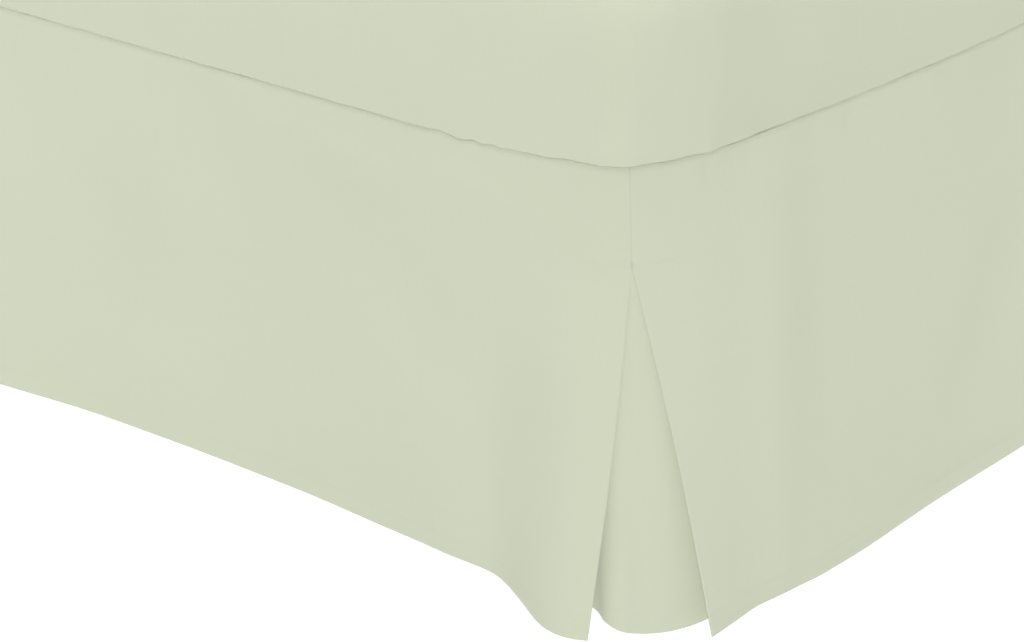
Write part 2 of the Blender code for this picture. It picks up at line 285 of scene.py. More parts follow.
def smooth(low: float, high: float, value: np.ndarray) -> np.ndarray:
    """Passes smoothly from 0 at low to 1 at high.

    Args:
        low: The value at and below which the result is 0.
        high: The value at and above which the result is 1.
        value: Where to work it out.

    Returns:
        The shares, in the shape of value.
    """
    share = np.clip((np.asarray(value, float) - low) / (high - low), 0.0, 1.0)
    return share * share * (3 - 2 * share)


def plateau(
    rise: tuple[float, float], fall: tuple[float, float], value: np.ndarray
) -> np.ndarray:
    """Passes smoothly up from 0 to 1, and down to 0 again.

    Args:
        rise: Where the way up starts and ends.
        fall: Where the way down starts and ends.
        value: Where to work it out.

    Returns:
        The shares, in the shape of value.
    """
    return smooth(*rise, value) * (1 - smooth(*fall, value))


def curve_at(keys: list[float], values: list[float], at: np.ndarray) -> np.ndarray:
    """Reads a smooth curve through the rows of a table, flat past its ends.

    Args:
        keys: Rising places of the rows.
        values: The curve's value at each row.
        at: The places to read.

    Returns:
        The values there.
    """
    keys, values = np.asarray(keys, float), np.asarray(values, float)
    at = np.clip(np.asarray(at, float), keys[0], keys[-1])
    i = np.clip(np.searchsorted(keys, at, side="right") - 1, 0, len(keys) - 2)
    before = np.maximum(np.arange(len(keys)) - 1, 0)
    after = np.minimum(np.arange(len(keys)) + 1, len(keys) - 1)
    slope = (values[after] - values[before]) / (keys[after] - keys[before])
    width = keys[i + 1] - keys[i]
    t = (at - keys[i]) / width
    return (
        values[i] * (2 * t**3 - 3 * t**2 + 1)
        + values[i + 1] * (3 * t**2 - 2 * t**3)
        + slope[i] * width * (t**3 - 2 * t**2 + t)
        + slope[i + 1] * width * (t**3 - t**2)
    )


def seam_inset(run: Run, from_corner: np.ndarray) -> np.ndarray:
    """How far inside the bed's straight side the seam runs, near one corner.

    Args:
        run: Which way the side runs.
        from_corner: Distances from the bed's corner.

    Returns:
        The distances inwards.
    """
    corner = SEAM_CORNER[run]
    other = SEAM_CORNER[Run.LONG if run is Run.END else Run.END]

    def drawn(d: np.ndarray) -> np.ndarray:
        """The slow draw towards the corner."""
        return corner.draw * np.maximum(0.0, 1 - d / corner.draw_reach) ** DRAW_POWER

    def rounded(d: np.ndarray) -> np.ndarray:
        """The turn of the corner itself."""
        return np.maximum(0.0, 1 - d / corner.round_reach) ** ROUND_POWER

    depth = (other.meet - drawn(corner.meet)) / rounded(corner.meet)
    return drawn(from_corner) + depth * rounded(from_corner)


@dataclass(frozen=True)
class BedPlan:
    """The bed's driving sizes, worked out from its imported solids."""

    x_half: float
    y_half: float
    seam_height: float
    base_inset: float = 0.034
    seam_over_flat: float = 0.0052
    core_inset: float = 0.400

    @classmethod
    def from_frame(cls) -> "BedPlan":
        """Reads the plan from the base and the flat underside of the mattress.

        Returns:
            The plan, rounded to a tenth of a millimetre.
        """
        base_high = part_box("bed_base")[1]
        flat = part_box("mattress")[0].z
        return cls(
            x_half=round(base_high.x + cls.base_inset, 4),
            y_half=round(base_high.y + cls.base_inset, 4),
            seam_height=round(flat + cls.seam_over_flat, 4),
        )

    def inward(self, points: np.ndarray) -> np.ndarray:
        """The direction in plan to the bed's core block, which fans round at the corners.

        Args:
            points: Plan points, two numbers each.

        Returns:
            Unit directions of the same shape.
        """
        reach = np.array([self.x_half - self.core_inset, self.y_half - self.core_inset])
        towards = np.clip(points, -reach, reach) - points
        return towards / np.linalg.norm(towards, axis=-1, keepdims=True)


@dataclass(frozen=True)
class Ripple:
    """Soft unevenness of hanging cloth: a seeded sum of long waves."""

    seed: int
    depth: float = 0.0007
    count: int = 20
    shortest: float = 0.08
    longest: float = 0.32
    lean: float = 0.7

    def at(self, along: np.ndarray, down: np.ndarray) -> np.ndarray:
        """The rise of the cloth.

        Args:
            along: Places along a sheet.
            down: Places down it, which broadcast with those along it.

        Returns:
            The rise at each pair.
        """
        rng = np.random.default_rng(self.seed)
        total = np.zeros(np.broadcast(along, down).shape)
        for _ in range(self.count):
            length = rng.uniform(self.shortest, self.longest)
            lean = rng.normal(0.0, self.lean)
            phase = rng.uniform(0.0, 2 * math.pi)
            across = along * math.cos(lean) + down * math.sin(lean)
            total += length / self.longest * np.sin(2 * math.pi * across / length + phase)
        return total * self.depth * math.sqrt(2 / self.count)


@dataclass(frozen=True)
class Gathers:
    """Small puckers that a seam draws into the cloth beside it."""

    seed: int
    depth: float = 0.0007
    spacing: float = 0.021
    width: tuple[float, float] = (0.004, 0.011)
    reach: tuple[float, float] = (0.010, 0.040)

    def at(self, along: np.ndarray, away: np.ndarray) -> np.ndarray:
        """The rise of the cloth.

        Args:
            along: Places along the seam, a column of numbers.
            away: Distances from the seam, a row of numbers.

        Returns:
            The rise at each pair.
        """
        rng = np.random.default_rng(self.seed)
        total = np.zeros(np.broadcast(along, away).shape)
        for place in np.arange(along.min(), along.max(), self.spacing):
            centre = place + rng.uniform(-0.5, 0.5) * self.spacing
            width, reach = rng.uniform(*self.width), rng.uniform(*self.reach)
            rise = rng.normal(0.0, self.depth)
            bump = np.exp(-(((along - centre) / width) ** 2))
            total += rise * bump * np.exp(-((away / reach) ** 2))
        return total


@dataclass(frozen=True)
class Side:
    """One side of the bed, seen from outside, with its run anticlockwise in plan."""

    name: str
    run: Run
    plan: BedPlan
    along: tuple[float, float]
    out: tuple[float, float]
    start_hem: tuple[Hem, ...]
    end_hem: tuple[Hem, ...]
    fade: tuple[float, float]
    near_at_end: bool = False
    swell: float = 0.0004
    recede: float = 0.0003
    shut: float = 0.0
    crease_lean: float = 0.0
    folds: tuple[Fold, ...] = ()
    puckers: tuple[Pucker, ...] = ()
    notches: tuple[Pucker, ...] = ()

    @property
    def length(self) -> float:
        """The length of the bed's straight side."""
        return 2 * (self.plan.x_half if self.run is Run.END else self.plan.y_half)

    @property
    def meet(self) -> float:
        """From the bed's corner to the corner line of the pleat."""
        return SEAM_CORNER[self.run].meet

    @property
    def origin(self) -> np.ndarray:
        """The bed's corner where the run starts."""
        half = np.array([self.plan.x_half, self.plan.y_half])
        return (np.array(self.out) - np.array(self.along)) * half

    def from_near(self, at: np.ndarray) -> np.ndarray:
        """Distance of places along the run from the near corner."""
        return self.length - at if self.near_at_end else at

    def inset(self, at: np.ndarray) -> np.ndarray:
        """How far inside the straight side the seam runs."""
        return seam_inset(self.run, at) + seam_inset(self.run, self.length - at)

    def seam(self, at: np.ndarray) -> np.ndarray:
        """Plan points of the seam at places along the run."""
        at = np.asarray(at, float)[..., None]
        return self.origin + np.array(self.along) * at - np.array(self.out) * self.inset(at)

    def wobble(self, at: np.ndarray) -> np.ndarray:
        """How far the seam line is pulled up or down here."""
        return self._bumps(self.puckers, at)

    def lip(self, at: np.ndarray) -> np.ndarray:
        """How far the cover's edge swells out over the skirt here."""
        aside = np.minimum(at, self.length - at) - self.meet
        return self.swell * smooth(*LIP_REACH, aside)

    def closing(self, at: np.ndarray) -> np.ndarray:
        """How far the skirt is drawn up to the cover, away from the near corner."""
        return self.shut * smooth(*CLOSING_REACH, self.from_near(at))

    def notch(self, at: np.ndarray) -> np.ndarray:
        """How far the skirt is drawn in just under the seam here."""
        return self._bumps(self.notches, at)

    def _bumps(self, bumps: tuple[Pucker, ...], at: np.ndarray) -> np.ndarray:
        """Adds up the bumps of a table.

        Args:
            bumps: The table.
            at: Places along the run.

        Returns:
            The rise at each place.
        """
        place, rise = self.from_near(at), np.zeros(np.shape(at))
        for bump in bumps:
            rise += bump.rise * np.exp(-(((place - bump.place) / bump.width) ** 2))
        return rise

    def hem(self, at: np.ndarray) -> tuple[np.ndarray, np.ndarray]:
        """Reads the hem from the tables of both ends, one fading into the other.

        Args:
            at: Places along the run.

        Returns:
            How far out and how far up the hem is at each place.
        """
        share = smooth(*self.fade, at)
        found = []
        for column in ("out", "up"):
            ends = [
                curve_at([r.along for r in rows], [getattr(r, column) for r in rows], place)
                for rows, place in ((self.start_hem, at), (self.end_hem, self.length - at))
            ]
            found.append(ends[0] * (1 - share) + ends[1] * share)
        return found[0], found[1]


def bed_sides(plan: BedPlan) -> tuple[Side, ...]:
    """The four sides of the bed, anticlockwise from the foot.

    Args:
        plan: The bed's driving sizes.

    Returns:
        The foot, the right side, the head and the left side.
    """
    return (
        Side("skirt_foot", Run.END, plan, (1, 0), (0, -1), HEM_END_PLAIN, HEM_FOOT_NEAR,
             fade=(0.30, 0.55), near_at_end=True, folds=FOOT_FOLDS, puckers=FOOT_PUCKERS,
             crease_lean=-0.032),
        Side("skirt_right", Run.LONG, plan, (0, 1), (1, 0), HEM_SIDE_NEAR, HEM_LONG_PLAIN,
             fade=(0.80, 1.40), swell=0.0005, recede=0.0002, shut=0.0004, folds=SIDE_FOLDS,
             puckers=SIDE_PUCKERS, notches=SIDE_NOTCHES, crease_lean=0.032),
        Side("skirt_head", Run.END, plan, (-1, 0), (0, 1), HEM_END_PLAIN, HEM_END_PLAIN,
             fade=(0.50, 0.85)),
        Side("skirt_left", Run.LONG, plan, (0, -1), (-1, 0), HEM_LONG_PLAIN, HEM_LONG_PLAIN,
             fade=(0.75, 1.15)),
    )


def grid_normals(mid: np.ndarray, ring: bool) -> np.ndarray:
    """Outward unit normals of a grid of columns and rows.

    Args:
        mid: Points, columns by rows by three, rows running down the outer face.
        ring: Whether the last column meets the first.

    Returns:
        One normal for each point.
    """
    if ring:
        around = (np.roll(mid, -1, axis=0) - np.roll(mid, 1, axis=0)) / 2
    else:
        around = np.gradient(mid, axis=0)
    normal = np.cross(np.gradient(mid, axis=1), around)
    return normal / np.maximum(np.linalg.norm(normal, axis=-1, keepdims=True), 1e-12)


def grid_quads(columns: int, rows: int, ring: bool) -> np.ndarray:
    """The faces between the points of a grid that is numbered down each column.

    Args:
        columns: How many columns it has.
        rows: How many points each column has.
        ring: Whether the last column meets the first.

    Returns:
        Four vertex numbers for each face.
    """
    reach = columns if ring else columns - 1
    i, j = np.meshgrid(np.arange(reach), np.arange(rows - 1), indexing="ij")
    here, beside = i * rows + j, (i + 1) % columns * rows + j
    return np.stack([here, here + 1, beside + 1, beside], axis=-1).reshape(-1, 4)


@dataclass
class Shell:
    """A sheet of cloth as a closed thin body about its middle surface."""

    mid: np.ndarray
    half: np.ndarray
    uv: np.ndarray
    ring: bool = False

    def faces(self) -> list[tuple[int, ...]]:
        """Faces of the outer side, the inner side and the rims.

        Returns:
            The faces, with the inner side numbered after the whole outer side.
        """
        columns, rows = self.mid.shape[:2]
        count = columns * rows
        reach = columns if self.ring else columns - 1
        outer = grid_quads(columns, rows, self.ring)
        found = [outer, outer[:, ::-1] + count]
        near = np.arange(reach) * rows
        far = (np.arange(reach) + 1) % columns * rows
        low = rows - 1
        if not self.ring:
            found.append(np.stack([near, far, far + count, near + count], axis=-1))
            down, last = np.arange(rows - 1), (columns - 1) * rows
            found.append(np.stack([down + 1, down, down + count, down + 1 + count], axis=-1))
            edge = last + down
            found.append(np.stack([edge, edge + 1, edge + 1 + count, edge + count], axis=-1))
        found.append(
            np.stack([far + low, near + low, near + low + count, far + low + count], axis=-1)
        )
        faces = [tuple(face) for part in found for face in part.tolist()]
        if self.ring:
            centre = 2 * count
            for a, b in zip(near.tolist(), far.tolist()):
                faces.append((centre, a, b))
                faces.append((centre + 1, b + count, a + count))
        return faces

    def build(self, name: str, finish: bpy.types.Material) -> bpy.types.Object:
        """Makes the object, with its UV map in metres of cloth.

        Args:
            name: The object's name.
            finish: Its material.

        Returns:
            The new object, at the origin.
        """
        normal = grid_normals(self.mid, self.ring)
        step = normal * self.half[..., None]
        points = [(self.mid + step).reshape(-1, 3), (self.mid - step).reshape(-1, 3)]
        uv = [self.uv.reshape(-1, 2)] * 2
        if self.ring:
            centre = self.mid[:, 0].mean(axis=0)
            lift = np.array([0.0, 0.0, self.half[0, 0]])
            points.append(np.array([centre + lift, centre - lift]))
            uv.append(np.repeat(self.uv[:, 0].mean(axis=0)[None], 2, axis=0))
        return mesh_object(
            name, np.concatenate(points), self.faces(), finish, np.concatenate(uv)
        )


def mesh_object(
    name: str,
    points: np.ndarray,
    faces: list[tuple[int, ...]],
    finish: bpy.types.Material,
    uv: np.ndarray | None = None,
) -> bpy.types.Object:
    """Makes a smooth mesh object.

    Args:
        name: Its name.
        points: Its vertices.
        faces: Its faces, as vertex numbers.
        finish: Its material.
        uv: Where given, the UV place of each vertex.

    Returns:
        The new object, linked to the scene.
    """
    mesh = bpy.data.meshes.new(name)
    mesh.from_pydata(points.tolist(), [], faces)
    mesh.shade_smooth()
    mesh.materials.append(finish)
    if uv is not None:
        corners = np.zeros(len(mesh.loops), np.int32)
        mesh.loops.foreach_get("vertex_index", corners)
        layer = mesh.uv_layers.new(name="cloth")
        layer.data.foreach_set("uv", uv[corners].astype(np.float32).ravel())
    obj = bpy.data.objects.new(name, mesh)
    bpy.context.scene.collection.objects.link(obj)
    return obj


@dataclass
class ClothSpec:
    """Sizes that every sheet of the skirt shares."""

    half: float = 0.00020
    hem_half: float = 0.00030
    hem_height: float = 0.020
    hem_step: float = 0.003
    hem_turn: tuple[float, ...] = (1.6, 1.0, 0.5, 0.0, -1.0)
    hem_band: tuple[float, ...] = (0.014, 0.009, 0.005, 0.0022, 0.0007, 0.00035, 0.00012, 0.0)
    hem_nose: float = 0.1
    straight: float = 0.036
    fold_radius: float = 0.00030
    fold_depth: float = 0.020
    fold_steps: int = 6
    edge_clearance: float = 0.00049
    flange: float = 0.006
    roll: float = 0.0011
    roll_steps: int = 5
    recede_reach: float = 0.006
    notch_reach: float = 0.030
    settle_reach: float = 0.05
    bar_length: float = 0.046
    bar_width: float = 0.0030
    bar_rise: float = 0.0014
    bar_flat: float = 0.6
    stitch_up: float = 0.017
    stitch_margin: float = 0.0015
    pleat_sewn: float = 0.083
    pleat_hold: float = 0.120
    top_gap: float = 0.0007
    edge_bow: dict[Run, float] = field(default_factory=lambda: {Run.END: 0.003, Run.LONG: 0.005})

    def roll_profile(self) -> list[tuple[float, float]]:
        """The seam's turned-in edge.

        Returns:
            Rows of (inwards, away from the seam), from the end of the turned-in edge.
        """
        angles = np.linspace(math.pi / 2, 0.0, self.roll_steps)
        arc = [(self.roll * math.sin(a), self.roll - self.roll * (1 - math.cos(a))) for a in angles]
        return [(self.flange, 0.0)] + arc

    def hem_rows(self, drop: float) -> np.ndarray:
        """The rows of the hem, close together at its turn and at its edge.

        Args:
            drop: How far down the hem's edge is.

        Returns:
            How far down each row is.
        """
        turn = [self.hem_height + steps * self.hem_step for steps in self.hem_turn]
        return drop - np.array([*turn, *self.hem_band])

    def thickness(self, from_hem: np.ndarray) -> np.ndarray:
        """Half the cloth's thickness, this far above the hem's edge.

        Args:
            from_hem: Distances above the edge.

        Returns:
            Half thicknesses: thicker in the turned hem, and rounded off at its edge.
        """
        low, high = self.hem_height, self.hem_height + self.hem_step
        turned = self.hem_half + (self.half - self.hem_half) * smooth(low, high, from_hem)
        nose = np.clip(from_hem / self.hem_half, 0.0, 1.0)
        return turned * np.sqrt(np.clip(1 - (1 - nose) ** 2, self.hem_nose, 1.0))


def outer_face(
    mid: np.ndarray, from_hem: np.ndarray, cloth: ClothSpec
) -> tuple[np.ndarray, np.ndarray]:
    """The outer face of a sheet.

    Args:
        mid: Points of the middle surface, columns by rows by three.
        from_hem: How far above the hem's edge each row is.
        cloth: The sizes of the cloth.

    Returns:
        The face's points and its outward directions.
    """
    normal = grid_normals(mid, False)
    return mid + normal * cloth.thickness(from_hem)[None, :, None], normal


@dataclass
class Panel:
    """One hanging side of the skirt, between two pleats."""

    side: Side
    cloth: ClothSpec
    ripple: Ripple
    gathers: Gathers
    column_step: float
    row_step: float
    hem_low: float = 0.010
    puckered: float = 0.260
    seam_rows: tuple[float, ...] = (0.005, 0.0075, 0.011, 0.016, 0.022, 0.029)
    bar_above: float = 0.012
    bar_below: float = 0.006
    bar_step: float = 0.0015
    bar_margin: float = 0.002

    @property
    def top(self) -> float:
        """Height of the panel's upper edge."""
        return self.side.plan.seam_height - self.cloth.top_gap

    @property
    def nominal_drop(self) -> float:
        """From the seam to the lowest hem."""
        return self.top - self.hem_low

    def columns(self) -> np.ndarray:
        """Places along the seam, closer together beside the pleats and the puckers.

        Returns:
            The places, from one pleat's corner line to the other's.
        """
        start = self.side.meet + self.cloth.edge_clearance
        end = self.side.length - start
        fine = self.column_step / 2
        far = start + self.cloth.fold_depth
        close = start + (self.puckered if self.side.puckers else self.cloth.fold_depth)
        if not self.side.near_at_end:
            close, far = far, close
        first, last = np.arange(start, far, fine), end - np.arange(0.0, close - start, fine)[::-1]
        span = last[0] - first[-1] - fine
        middle = np.linspace(first[-1] + fine, last[0] - fine, int(span / self.column_step))
        return np.concatenate([first, middle, last])

    def rows(self) -> tuple[np.ndarray, np.ndarray]:
        """The rows, closer together at the seam, at the pleat's bar and at the hem.

        Returns:
            How far each row is tucked in, and how far down it is.
        """
        cloth, drop = self.cloth, self.nominal_drop
        roll = cloth.roll_profile()
        bar = np.arange(
            cloth.pleat_sewn - self.bar_above, cloth.pleat_sewn + self.bar_below, self.bar_step
        )
        plain = np.arange(
            cloth.straight, drop - cloth.hem_height - 2 * cloth.hem_step, self.row_step
        )
        margin = self.bar_margin
        plain = plain[(plain < bar[0] - margin) | (plain > bar[-1] + margin)]
        plain = np.sort(np.concatenate([plain, bar]))
        down = np.concatenate([
            [d for _, d in roll], self.seam_rows, plain, cloth.hem_rows(drop),
        ])
        tuck = np.zeros(len(down))
        tuck[: len(roll)] = [inward for inward, _ in roll]
        return tuck, down

    def folds(self, at: np.ndarray, down: np.ndarray) -> np.ndarray:
        """The rise of the listed folds.

        Args:
            at: Places along the seam, a column of numbers.
            down: Distances down the panel, a row of numbers.

        Returns:
            The rise at each pair.
        """
        total = np.zeros(np.broadcast(at, down).shape)
        place = self.side.from_near(at)
        for fold in self.side.folds:
            run = np.array([fold.low_from - fold.top_from, fold.low_down - fold.top_down])
            here_from, here_down = place - fold.top_from, down - fold.top_down
            t = np.clip((here_from * run[0] + here_down * run[1]) / (run @ run), 0.0, 1.0)
            aside = np.hypot(here_from - run[0] * t, here_down - run[1] * t) / fold.width
            arch = np.sin(math.pi * (FOLD_ENDS + (1 - 2 * FOLD_ENDS) * t))
            total += fold.rise * arch * np.exp(-FOLD_FALL * aside**2)
        return total

    def bar(self, from_pleat: np.ndarray, down: np.ndarray) -> np.ndarray:
        """The rise of the sewn bar that closes the pleat above its opening.

        Args:
            from_pleat: Distances from the nearer pleat, a column of numbers.
            down: Distances down the panel, a row of numbers.

        Returns:
            The rise at each pair.
        """
        cloth = self.cloth
        aside = (down - cloth.pleat_sewn + cloth.bar_width) / cloth.bar_width
        reach = 1 - smooth(cloth.bar_flat * cloth.bar_length, cloth.bar_length, from_pleat)
        return cloth.bar_rise * reach * np.exp(-(aside**2))

    def relief(self, at: np.ndarray, down: np.ndarray, loose: np.ndarray) -> np.ndarray:
        """How far folds, ripples, gathers and the pull of the seam move the cloth out.

        Args:
            at: Places along the seam, one for each column.
            down: How far down each row is, for the longest drop.
            loose: How far each column is free of the pleats, a column of numbers.

        Returns:
            The distances out, columns by rows.
        """
        side, cloth = self.side, self.cloth
        place, depth = at[:, None], down[None, :]
        out = self.folds(place, depth) * loose
        out += self.ripple.at(place, depth) * loose * smooth(0.0, cloth.settle_reach, depth)
        out += self.gathers.at(place, depth) * loose
        drawn = 1 - np.exp(-depth / cloth.recede_reach)
        out -= side.recede * drawn * loose
        return out - side.notch(place) * drawn * np.exp(-((depth / cloth.notch_reach) ** 2))

    def middle(self, at: np.ndarray, tuck: np.ndarray, down: np.ndarray) -> np.ndarray:
        """Points of the middle surface.

        Args:
            at: Places along the seam, one for each column.
            tuck: How far each row is tucked in at the seam.
            down: How far down each row is, for the longest drop.

        Returns:
            Points, columns by rows by three.
        """
        side, cloth = self.side, self.cloth
        v = down[None, :] / self.nominal_drop
        share = (at - side.meet) / (side.length - 2 * side.meet)
        hem_start = side.start_hem[0].along
        at_hem = hem_start + share * (side.length - side.end_hem[0].along - hem_start)
        out_low, up_low = side.hem(at_hem)
        from_start, from_end = at - side.meet, side.length - side.meet - at
        nearest = np.minimum(from_start, from_end)
        held = (1 - smooth(0.0, cloth.pleat_hold, nearest))[:, None]
        towards = np.where(from_start < from_end, -1.0, 1.0)[:, None]
        along_drift, out_drift = SEWN_DRIFT[side.run]
        sewn = cloth.pleat_sewn / self.nominal_drop * held
        opened = np.maximum(0.0, (v - sewn) / (1 - sewn))
        drifted = np.minimum(1.0, v / np.maximum(sewn, 1e-6))
        along_top, out_top = at[:, None], -side.inset(at)[:, None]
        shift = towards * along_drift * held
        along = along_top + shift * drifted + (at_hem[:, None] - along_top - shift) * opened
        rise = out_drift * held
        out = out_top + rise * drifted + (out_low[:, None] - out_top - rise) * opened
        bow = cloth.edge_bow[side.run] * np.sin(math.pi * np.minimum(opened, 1.0))
        along += bow * held
        out += self.relief(at, down, 1 - held)
        out += self.bar(nearest[:, None], down[None, :])
        seam = side.seam(at)
        inward = side.plan.inward(seam)[:, None, :]
        plan = side.origin + np.array(side.along) * along[..., None]
        plan = plan + np.array(side.out) * out[..., None] + inward * tuck[None, :, None]
        drop = (self.top - up_low)[:, None]
        high = self.top - np.where(down < cloth.straight, down, v * drop)
        pull = side.wobble(at) + side.closing(at)
        high = high + pull[:, None] * np.exp(-((down / PULL_REACH) ** 2))[None, :]
        return np.concatenate([plan, high[..., None]], axis=-1)

    def fold_back(self, mid: np.ndarray) -> np.ndarray:
        """Adds the turned edges: at each pleat the cloth folds round and runs back.

        Args:
            mid: Points of the middle surface, columns by rows by three.

        Returns:
            The same points with further columns before and after them.
        """
        cloth, normal = self.cloth, grid_normals(mid, False)
        count = int(round(cloth.fold_depth / (self.column_step / 2)))
        angles = np.linspace(0.0, math.pi, cloth.fold_steps + 1)[1:]

        def turned(edge: int, beside: int, behind: slice) -> np.ndarray:
            """The columns past one edge.

            Args:
                edge: The edge's column.
                beside: The column before it.
                behind: The columns that the cloth runs back behind.

            Returns:
                The new columns, outermost last.
            """
            past = mid[edge] - mid[beside]
            past /= np.linalg.norm(past, axis=-1, keepdims=True)
            radius = cloth.fold_radius
            arc = [
                mid[edge] + past * radius * math.sin(a) - normal[edge] * radius * (1 - math.cos(a))
                for a in angles
            ]
            return np.concatenate([np.array(arc), (mid - normal * 2 * radius)[behind]])

        start = turned(0, 1, slice(1, count))[::-1]
        end = turned(-1, -2, slice(-2, -1 - count, -1))
        return np.concatenate([start, mid, end])

    def shell(self) -> Shell:
        """The panel as a closed thin body.

        Returns:
            The body, with its UV map running along the panel and down it.
        """
        tuck, down = self.rows()
        mid = self.fold_back(self.middle(self.columns(), tuck, down))
        half = np.broadcast_to(self.cloth.thickness(self.nominal_drop - down), mid.shape[:2])
        steps = np.linalg.norm(np.diff(mid[:, len(down) // 2], axis=0), axis=-1)
        along = np.concatenate([[0.0], np.cumsum(steps)])
        across = np.broadcast_to(along[:, None], mid.shape[:2])
        uv = np.stack([across, np.broadcast_to(-down[None, :], mid.shape[:2])], axis=-1)
        return Shell(mid, half.copy(), uv)

    def stitch_rows(self) -> list[Row]:
        """The rows of stitches.

        Returns:
            The hem's row, and the two short rows where the pleats' sewing ends.
        """
        cloth, columns = self.cloth, self.columns()
        tuck, down = self.rows()
        face, normal = outer_face(self.middle(columns, tuck, down), self.nominal_drop - down, cloth)
        from_edge = columns[-1] - columns, columns - columns[0]
        hem = int(np.argmin(np.abs(self.nominal_drop - down - cloth.stitch_up)))
        bar = int(np.argmin(np.abs(down - cloth.pleat_sewn + cloth.bar_width)))
        inside = np.minimum(*from_edge) > cloth.stitch_margin
        picks = [(inside, hem)]
        picks += [(inside & (away < cloth.bar_length), bar) for away in from_edge]
        return [Row(face[held, row], normal[held, row]) for held, row in picks]


@dataclass
class Underlay:
    """The piece of cloth behind one corner pleat."""

    x_sign: int
    y_sign: int
    plan: BedPlan
    cloth: ClothSpec
    steps: int = 40
    reach: float = 0.0625
    inset: float = 0.0012
    hem_low: float = 0.010
    top_drop: float = 0.0045
    turn: tuple[float, float] = (0.1, 0.9)
    row_step: float = 0.006
    belly: float = 0.0

    @property
    def top(self) -> float:
        """Height that its drop is measured from."""
        return self.plan.seam_height - self.cloth.top_gap

    def rows(self) -> np.ndarray:
        """The rows, closer together at the hem.

        Returns:
            How far down each row is.
        """
        cloth, drop = self.cloth, self.top - self.hem_low
        low = drop - cloth.hem_height - 2 * cloth.hem_step
        return np.concatenate([np.arange(self.top_drop, low, self.row_step), cloth.hem_rows(drop)])

    def middle(self, share: np.ndarray, down: np.ndarray) -> np.ndarray:
        """Points of the middle surface, from the bed's corner, outward positive.

        Args:
            share: Places across it, from the end of the bed at 0 to the side at 1.
            down: How far down each row is.

        Returns:
            Points, columns by rows by three.
        """
        from_line = np.abs(share - 0.5) * 2 * self.reach
        end, long = (SEAM_CORNER[run].meet + from_line for run in (Run.END, Run.LONG))
        top = np.where(
            (share < 0.5)[:, None],
            np.stack([-end, -seam_inset(Run.END, end)], axis=-1),
            np.stack([-seam_inset(Run.LONG, long), -long], axis=-1),
        )
        turn = math.pi / 2 * smooth(*self.turn, share)
        start = top + np.stack([-np.sin(turn), -np.cos(turn)], axis=-1) * self.inset
        keys = [k / (len(UNDERLAY_HEM) - 1) for k in range(len(UNDERLAY_HEM))]
        low = np.stack([
            curve_at(keys, [row.across for row in UNDERLAY_HEM], share),
            curve_at(keys, [row.lengthways for row in UNDERLAY_HEM], share),
        ], axis=-1)
        up = curve_at(keys, [row.up for row in UNDERLAY_HEM], share)
        drop = self.top - self.hem_low
        sewn = self.cloth.pleat_sewn / drop
        v = (down / drop)[None, :, None]
        opened = np.maximum(0.0, (v - sewn) / (1 - sewn))
        opened = opened * (1 + self.belly * (1 - opened))
        hold = (1 - smooth(0.0, self.cloth.pleat_hold, from_line))[:, None]
        drift = np.array([SEWN_DRIFT[Run.END][0], SEWN_DRIFT[Run.LONG][0]]) * hold
        start, drift, low = start[:, None], drift[:, None], low[:, None]
        place = start + drift * np.minimum(1.0, v / sewn) + (low - start - drift) * opened
        lift = (up - self.hem_low)[:, None] * smooth(sewn, 1.0, down / drop)[None, :]
        high = (self.top - down)[None, :] + lift
        return np.concatenate([place, high[..., None]], axis=-1)

    def grid(self) -> tuple[np.ndarray, np.ndarray]:
        """The middle surface in its own corner of the bed.

        Returns:
            Points, columns by rows by three, and how far down each row is.
        """
        down = self.rows()
        mid = self.middle(np.linspace(0.0, 1.0, self.steps + 1), down)
        mid[..., 0] += self.plan.x_half
        mid[..., 1] += self.plan.y_half
        mid[..., 0] *= self.x_sign
        mid[..., 1] *= self.y_sign
        return (mid[::-1] if self.x_sign * self.y_sign > 0 else mid), down

    def stitch_rows(self) -> list[Row]:
        """The rows of stitches.

        Returns:
            The one row along its hem.
        """
        mid, down = self.grid()
        from_hem = self.top - self.hem_low - down
        face, normal = outer_face(mid, from_hem, self.cloth)
        hem = int(np.argmin(np.abs(from_hem - self.cloth.stitch_up)))
        return [Row(face[1:-1, hem], normal[1:-1, hem])]

    def shell(self) -> Shell:
        """The underlay as a closed thin body.

        Returns:
            The body, with its UV map running across the underlay and down it.
        """
        mid, down = self.grid()
        half = self.cloth.thickness(self.top - self.hem_low - down)
        half = np.broadcast_to(half, mid.shape[:2]).copy()
        low = mid[:, -1]
        along = np.concatenate([[0.0], np.cumsum(np.linalg.norm(np.diff(low, axis=0), axis=-1))])
        uv = np.stack(np.broadcast_arrays(along[:, None], -down[None, :]), axis=-1)
        return Shell(mid, half, uv)


